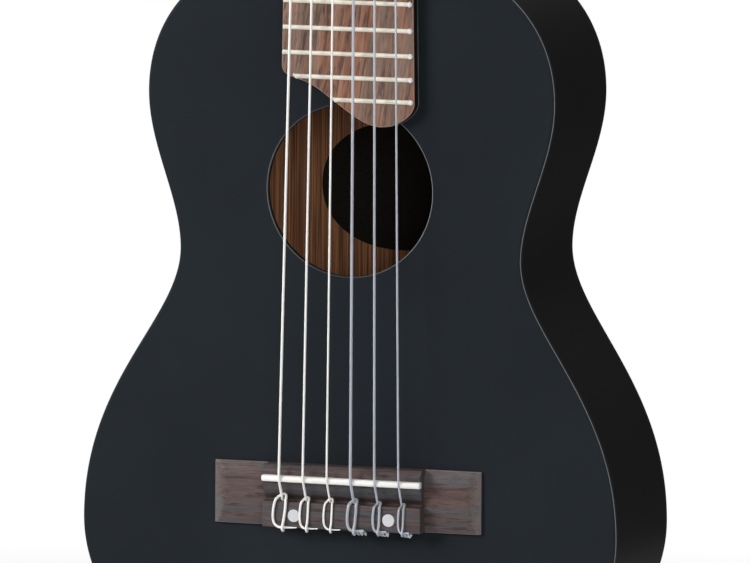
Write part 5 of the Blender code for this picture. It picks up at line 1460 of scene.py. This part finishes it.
def make_dots():
    """A low pearl dome over each bolt."""
    top, radius = TIE_BLOCK_HEIGHT + 0.1 * MM, DOT_RADIUS
    turn = quarter(6)
    rim_radius = radius - 0.18 * MM * (1 - np.sin(turn))
    rim = sheet(rim_radius, top - 0.03 * MM - 0.15 * MM * (1 - np.cos(turn)))
    crown = [(0, top), (radius * 0.5, top - 0.01 * MM)]
    profile = np.vstack([crown, rim, (radius, top - 1.2 * MM), (0, top - 1.2 * MM)])
    for side, word in ((-1, "bass"), (1, "treble")):
        stand = [[1, 0, 0, side * DOT_OFFSET], [0, 0, -1, 0], [0, 1, 0, DOT_Z], [0, 0, 0, 1]]
        shell = placed(turned(profile, 48), stand)
        make_piece(f"pearl_dot_{word}", [shell], [pearl()], replaces=[f"bridge_dot_{word}"])


# Strings

def tie_route(x, radius, saddle, crest, lean, bulge, tail):
    """Points of a tie: through the block, up behind it and forward, then a D shaped loop back to its start.

    The loop is a table of shares: how far left of the forward branch, how far down from the arch to
    the block's lower edge, and how much of the dip that carries the arch under the string.
    """
    away, step = radius + SEAT_GAP, 2 * radius + SEAT_GAP
    top = TIE_BLOCK_HEIGHT + radius + 0.04 * MM
    tuck = BRIDGE_BOTTOM + 0.15 * MM
    hole = TIE_HOLE_HEIGHT
    behind = min(BRIDGE_BOTTOM - away, tuck - step)
    ahead = TIE_FRONT + 1.6 * MM
    crest = TIE_FRONT + crest
    slope = (saddle - TIE_CROSSING_HEIGHT) / (SADDLE_Z - ahead)
    under = TIE_CROSSING_HEIGHT + slope * (crest - ahead) - 2 * radius - 0.12 * MM
    low, high = x + 1.05 * MM, x + lean
    before = [
        (x, saddle - 0.1 * MM, SADDLE_Z - 0.4 * MM), (x, TIE_CROSSING_HEIGHT, ahead),
        (x, hole + 0.9 * MM, TIE_FRONT + 0.5 * MM), (x, hole, TIE_FRONT - 0.9 * MM),
        (x, hole, behind + 3 * MM), (x, hole, behind + 1 * MM),
        (x + 0.1 * MM, hole + 0.3 * MM, behind + 0.3 * MM), (x + 0.4 * MM, hole + 1 * MM, behind),
        (low - 0.1 * MM, top, behind), (low, top + step * 0.8, tuck - step * 0.6), (low, top + step, tuck),
        (low + 0.05 * (high - low), top + step * 0.6, tuck + step),
        (low + 0.15 * (high - low), top, tuck + step * 2.2),
        (low + 0.75 * (high - low), top, TIE_FRONT - 2.2 * MM),
    ]
    left, down, dip = np.array([
        (-0.01, 0.17, 0), (0.02, 0.085, 0.4), (0.13, 0.02, 0.9), (0.34, 0, 1), (0.58, 0.03, 0.95),
        (0.77, 0.095, 0.5), (0.9, 0.19, 0), (1, 0.42, 0), (1, 0.62, 0), (0.92, 0.8, 0), (0.73, 0.92, 0),
        (0.42, 0.99, 0), (0, 1, 0),
    ]).T
    across = high + (low - high) * down - bulge * left
    loop = sheet(across, top + (under - top) * dip, crest + (tuck - crest) * down)
    after = [(x + tail * 0.6, top, tuck), (x + tail, top, tuck + 0.1 * MM)]
    return np.vstack([before, loop, after]) * (1, -1, 1)


def make_strings():
    """Six taut strings, from their posts over nut and saddle to their ties."""
    for index, diameter in enumerate(STRING_DIAMETERS):
        radius, tuner = diameter / 2, 5 - index
        start = -tuner_side(tuner) * (WINDING_RADIUS + 0.1 * MM + radius)
        post = head_place(tuner) @ np.array([start, 0, STRING_LEVEL_AT_POST, 1])
        rest, saddle = STRING_REST_AT_NUT + radius, SADDLE_TOP + radius + 0.02 * MM
        at_nut, at_saddle = string_x(index, 0), string_x(index, SADDLE_Z)
        end = (at_saddle, -saddle, SADDLE_Z + 0.4 * MM)
        corners = np.array([post[:3], (at_nut, -rest, NUT_THICKNESS / 2), (at_nut, -rest, 0), end])
        share = np.linspace(0, 1, 12, endpoint=False)[:, None]
        straight = [a + (b - a) * share for a, b in zip(corners, corners[1:])]
        tie = tie_route(at_saddle, radius, saddle, *TIES[index])
        path = np.vstack([*straight, corners[-1:], smooth_path(tie, 7)])
        wound = index < WOUND_COUNT
        if wound:
            run = run_of(path)
            radius = radius * (1 - 0.5 * unit((run - run[-1] + 6 * MM) / (5 * MM)))
        shells = [tube(path, radius)]
        if not wound:
            shells.append(frayed_knot(index, at_saddle))
        material, slot = string_looks(wound)
        name, node = f"strung_{6 - index}", f"string_{6 - index}"
        make_piece(name, shells, [material], replaces=[node], sharp=60)


def frayed_knot(index, x):
    """The crumpled end of a plain string: a wandering sum of sines behind the tie block."""
    t = np.linspace(0, 1, 90)
    wave = 2 * math.pi * t
    across = x + 1.3 * MM + FRAY_WIDTHS[index - WOUND_COUNT] * t + 0.35 * MM * np.sin(3.1 * wave + index)
    height = TIE_BLOCK_HEIGHT - 0.4 * MM + 0.75 * MM * np.sin(2.3 * wave + 2 * index)
    along = BRIDGE_BOTTOM - 0.6 * MM + 0.75 * MM * np.cos(2.9 * wave + index * 1.7)
    return tube(sheet(across, -height, along), 0.4 * MM, 10)


# Stage

def make_floor():
    """Pale floor: near the object it keeps its shadow, and further out it turns to plain white."""
    look = bpy.context.scene.guitalele_stage
    radius = np.concatenate([np.linspace(0, 1, 11), np.linspace(1.5, 12, 8)])[:, None]
    turn = around(64)
    grid = sheet(radius * np.cos(turn), radius * np.sin(turn), BODY_BOTTOM - FLOOR_GAP)
    index = np.arange(grid[..., 0].size).reshape(grid.shape[:2])
    index = np.hstack([index, index[:, :1]])
    quads = np.stack([index[1:-1, :-1], index[2:, :-1], index[2:, 1:], index[1:-1, 1:]], -1).reshape(-1, 4)
    fans = np.stack([0 * index[1, 1:], index[1, :-1], index[1, 1:]], -1)
    mesh = bpy.data.meshes.new("floor")
    mesh.from_pydata(grid.reshape(-1, 3), [], quads.tolist() + fans.tolist())
    f = Finish("floor_paper")
    here = f.add("ShaderNodeTexCoord", output="Object")
    away = f.add("ShaderNodeVectorMath", {"operation": "LENGTH"}, {0: here}, output="Value")
    far = away.steps(SHADOW_REACH, FLOOR_FADE)
    ray = f.add("ShaderNodeLightPath", output="Is Camera Ray")
    seen = ray.math("MAXIMUM", ray, ray.beside("Is Transmission Ray"))
    f.set(Base_Color=look.floor_color, Roughness=0.85 + f.noise(80) * 0.1)
    glow = f.light("ShaderNodeEmission", 1.0)
    band = f.light("ShaderNodeEmission", look.mirror_band)
    mirrored = f.either(ray.beside("Is Glossy Ray") * far, Value(f, f.shader.outputs[0]), band)
    mixed = f.either(seen * (0.3 + far * 0.7), mirrored, glow)
    f.plug(f.tree.nodes["Material Output"].inputs["Surface"], mixed)
    mesh.materials.append(f.material)
    floor = linked("floor", mesh)


def make_world():
    """White to the eye, a plain soft light on the object, and a white room with a grey band for mirrors.

    The band's share is 1 where the view is level and 0 from about 45 degrees up or down.
    """
    look = bpy.context.scene.guitalele_stage
    world = bpy.data.worlds.new("studio")
    world.use_nodes = True
    room = Nodes(world.node_tree)
    room.tree.nodes.clear()
    eye = room.add("ShaderNodeLightPath", output="Is Camera Ray")
    mirror, glass = eye.beside("Is Glossy Ray"), eye.beside("Is Transmission Ray")
    rise = room.split(room.add("ShaderNodeTexCoord", output="Generated"), "Z")
    band = 1 - rise.math("ABSOLUTE", rise).steps(0.3, 0.75)
    light = room.light("ShaderNodeBackground", look.room_light)
    white = room.light("ShaderNodeBackground", 1.0)
    grey = room.light("ShaderNodeBackground", look.mirror_band)
    share = eye.math("MAXIMUM", eye, eye.math("MAXIMUM", mirror, glass))
    whole = room.either(share, light, room.either(band * mirror, white, grey))
    room.add("ShaderNodeOutputWorld", {}, {"Surface": whole})
    bpy.context.scene.world = world


def make_lamp(name, location, size, power):
    """A square soft lamp that faces the middle of the instrument."""
    data = bpy.data.lights.new(name, "AREA")
    data.shape = "SQUARE"
    data.size = size
    data.energy = power
    away = np.array(location) - LAMP_AIM
    away /= np.linalg.norm(away)
    side = np.cross((0, 0, 1), away)
    side /= np.linalg.norm(side)
    matrix = np.eye(4)
    matrix[:3] = np.stack([side, np.cross(away, side), away, location], 1)
    linked(name, data).matrix_world = matrix.T.tolist()


def make_lamps():
    make_lamp("left_softbox", (-1.8, -1.75, 0.5), size=0.9, power=44)
    make_lamp("front_softbox", (1.75, -3.1, 0.4), size=1.3, power=30)
    make_lamp("top_softbox", (-0.3, -0.6, 2.6), size=1.2, power=8)
    make_lamp("right_strip", (2.5, -0.9, -0.2), size=0.5, power=1.7)
    make_lamp("back_softbox", (-1.3, 2.3, 1.0), size=1.2, power=24)


def make_camera():
    """The photograph's camera, with colours shown as they are."""
    bpy.context.scene.view_settings.view_transform = "Standard"
    look = bpy.context.scene.guitalele_stage
    data = bpy.data.cameras.new("camera")
    data.sensor_width = SENSOR_WIDTH
    data.lens = look.lens
    data.clip_start, data.clip_end = 0.1, 60
    camera = linked("camera", data)
    camera.location = look.camera_location
    camera.rotation_euler = look.camera_turn
    bpy.context.scene.camera = camera


# Settings

def number(name, text, default, **kind):
    return FloatProperty(name=name, description=text, default=default, min=0, **kind)


def length(name, text, default):
    return number(name, text, default, unit="LENGTH")


def vector(name, text, default, **kind):
    return FloatVectorProperty(name=name, description=text, default=default, **kind)


def color(name, text, default):
    return vector(name, text, default, min=0, max=1, subtype="COLOR")


class BodySettings(bpy.types.PropertyGroup):
    rim_radius: length("Rim radius", "Rounding of the body's front and back edges", 1.3 * MM)
    hole_edge_radius: length("Hole edge", "Rounding of the sound hole's edge", 0.5 * MM)
    lacquer: color("Lacquer", "Colour of the body's lacquer", (0.0145, 0.0185, 0.0225))
    # Painted shade: the sides' lacquer, darker and more neutral than the front's.
    side_lacquer: color("Side lacquer", "Colour of the sides", (0.0088, 0.0088, 0.009))
    # Pale colour painted on the rounded edges as a glint.
    painted_edge_glint: color("Rubbed edge", "Colour where edges are rubbed thin", (0.44, 0.44, 0.45))


class BoardSettings(bpy.types.PropertyGroup):
    edge_bevel: length("Edge", "Rounding of the fingerboard's top edges", 0.45 * MM)
    fret_width: length("Fret width", "Width of a fret's crown", 1.85 * MM)
    fret_height: length("Fret height", "Height of a fret's crown", 1 * MM)
    fret_ball: length("Fret ends", "Radius of the balls that end a fret", 1.13 * MM)
    wood_warm: color("Warm bands", "Fingerboard's orange brown bands", (0.315, 0.147, 0.093))
    wood_grey: color("Grey bands", "Fingerboard's grey brown bands", (0.24, 0.156, 0.12))
    wood_dark: color("Dark streaks", "Fingerboard's slate streaks", (0.085, 0.058, 0.05))
    wood_pale: color("Pale streaks", "Fingerboard's palest grain", (0.42, 0.225, 0.145))


class NeckSettings(bpy.types.PropertyGroup):
    head_edge_radius: length("Head edge", "Rounding of the headstock's front edges", 1.2 * MM)


class BridgeSettings(bpy.types.PropertyGroup):
    wood_warm: color("Warm bands", "Bridge's red brown bands", (0.13, 0.075, 0.065))
    wood_grey: color("Grey bands", "Bridge's slate bands", (0.098, 0.09, 0.092))
    wood_dark: color("Dark streaks", "Bridge's dark grain", (0.045, 0.03, 0.03))
    wood_pale: color("Pale streaks", "Bridge's palest grain", (0.16, 0.12, 0.11))


class StringSettings(bpy.types.PropertyGroup):
    wound_color: color("Winding", "Colour of the wound strings", (1.0, 0.99, 0.96))
    nylon_color: color("Nylon", "Colour of the plain strings", (0.78, 0.82, 0.9))


class StageSettings(bpy.types.PropertyGroup):
    camera_location: vector("Camera", "Camera's place", CAMERA_PLACE, subtype="TRANSLATION")
    camera_turn: vector("Turn", "Camera's turn", CAMERA_TURN, subtype="EULER")
    lens: number("Lens", "Camera's focal length", 605.28, unit="CAMERA")
    room_light: number("Room light", "Strength of the soft light from all round", 0.22)
    mirror_band: number("Mirror band", "Strength of the level band that mirrors see", 0.09)
    floor_color: color("Floor", "Colour of the floor", (0.85, 0.85, 0.85))


# Operators

class Maker:
    """What the operators share: each runs its own makers in turn"""

    def execute(self, context):
        for make in self.makers:
            make()
        return {"FINISHED"}


class GUITALELE_OT_body(Maker, bpy.types.Operator):
    """Dress the soundboard, sides, back and what is inside them"""
    bl_idname = "guitalele.body"
    bl_label = "Body"
    makers = (make_soundboard, make_back, make_sides, make_label, dress_inner_wood)


class GUITALELE_OT_board(Maker, bpy.types.Operator):
    """Dress the fingerboard, its frets and the nut"""
    bl_idname = "guitalele.board"
    bl_label = "Fingerboard"
    makers = (make_fingerboard, make_frets, make_nut)


class GUITALELE_OT_neck(Maker, bpy.types.Operator):
    """Dress the neck with its heel and headstock"""
    bl_idname = "guitalele.neck"
    bl_label = "Neck"
    makers = (make_neck,)


class GUITALELE_OT_tuners(Maker, bpy.types.Operator):
    """Dress the six tuning machines"""
    bl_idname = "guitalele.tuners"
    bl_label = "Tuners"
    makers = (make_tuners,)


class GUITALELE_OT_bridge(Maker, bpy.types.Operator):
    """Dress the bridge, its saddle and its dots"""
    bl_idname = "guitalele.bridge"
    bl_label = "Bridge"
    makers = (make_bridge, make_saddle, make_dots)


class GUITALELE_OT_strings(Maker, bpy.types.Operator):
    """Dress the strings and their ties"""
    bl_idname = "guitalele.strings"
    bl_label = "Strings"
    makers = (make_strings,)


class GUITALELE_OT_stage(Maker, bpy.types.Operator):
    """Set the floor, the lamps, the background and the camera"""
    bl_idname = "guitalele.stage"
    bl_label = "Stage"
    makers = (make_floor, make_world, make_lamps, make_camera)


class GUITALELE_PT_panel(bpy.types.Panel):
    """Lists the pieces in the order in which they are made"""
    bl_label = "Guitalele"
    bl_idname = "GUITALELE_PT_panel"
    bl_space_type = "VIEW_3D"
    bl_region_type = "UI"
    bl_category = "Guitalele"

    def draw(self, context):
        for operator in OPERATORS:
            self.layout.operator(operator.bl_idname)


SETTINGS = {
    "guitalele_body": BodySettings,
    "guitalele_board": BoardSettings,
    "guitalele_neck": NeckSettings,
    "guitalele_bridge": BridgeSettings,
    "guitalele_strings": StringSettings,
    "guitalele_stage": StageSettings,
}
OPERATORS = (
    GUITALELE_OT_body, GUITALELE_OT_board, GUITALELE_OT_neck, GUITALELE_OT_tuners,
    GUITALELE_OT_bridge, GUITALELE_OT_strings, GUITALELE_OT_stage,
)


def register():
    for kind in (*SETTINGS.values(), *OPERATORS, GUITALELE_PT_panel):
        bpy.utils.register_class(kind)
    for name, kind in SETTINGS.items():
        setattr(bpy.types.Scene, name, PointerProperty(type=kind))


def unregister():
    for name in SETTINGS:
        delattr(bpy.types.Scene, name)
    for kind in (GUITALELE_PT_panel, *reversed(OPERATORS), *reversed(SETTINGS.values())):
        bpy.utils.unregister_class(kind)


def clear_startup():
    """Remove the startup scene's own cube, camera and lamp."""
    for name in ("Cube", "Camera", "Light"):
        item = bpy.data.objects.get(name)
        if item is not None:
            bpy.data.objects.remove(item)


def main():
    register()
    clear_startup()
    bpy.ops.guitalele.body()
    bpy.ops.guitalele.board()
    bpy.ops.guitalele.neck()
    bpy.ops.guitalele.tuners()
    bpy.ops.guitalele.bridge()
    bpy.ops.guitalele.strings()
    bpy.ops.guitalele.stage()
    bpy.context.view_layer.update()


if __name__ == "__main__":
    main()
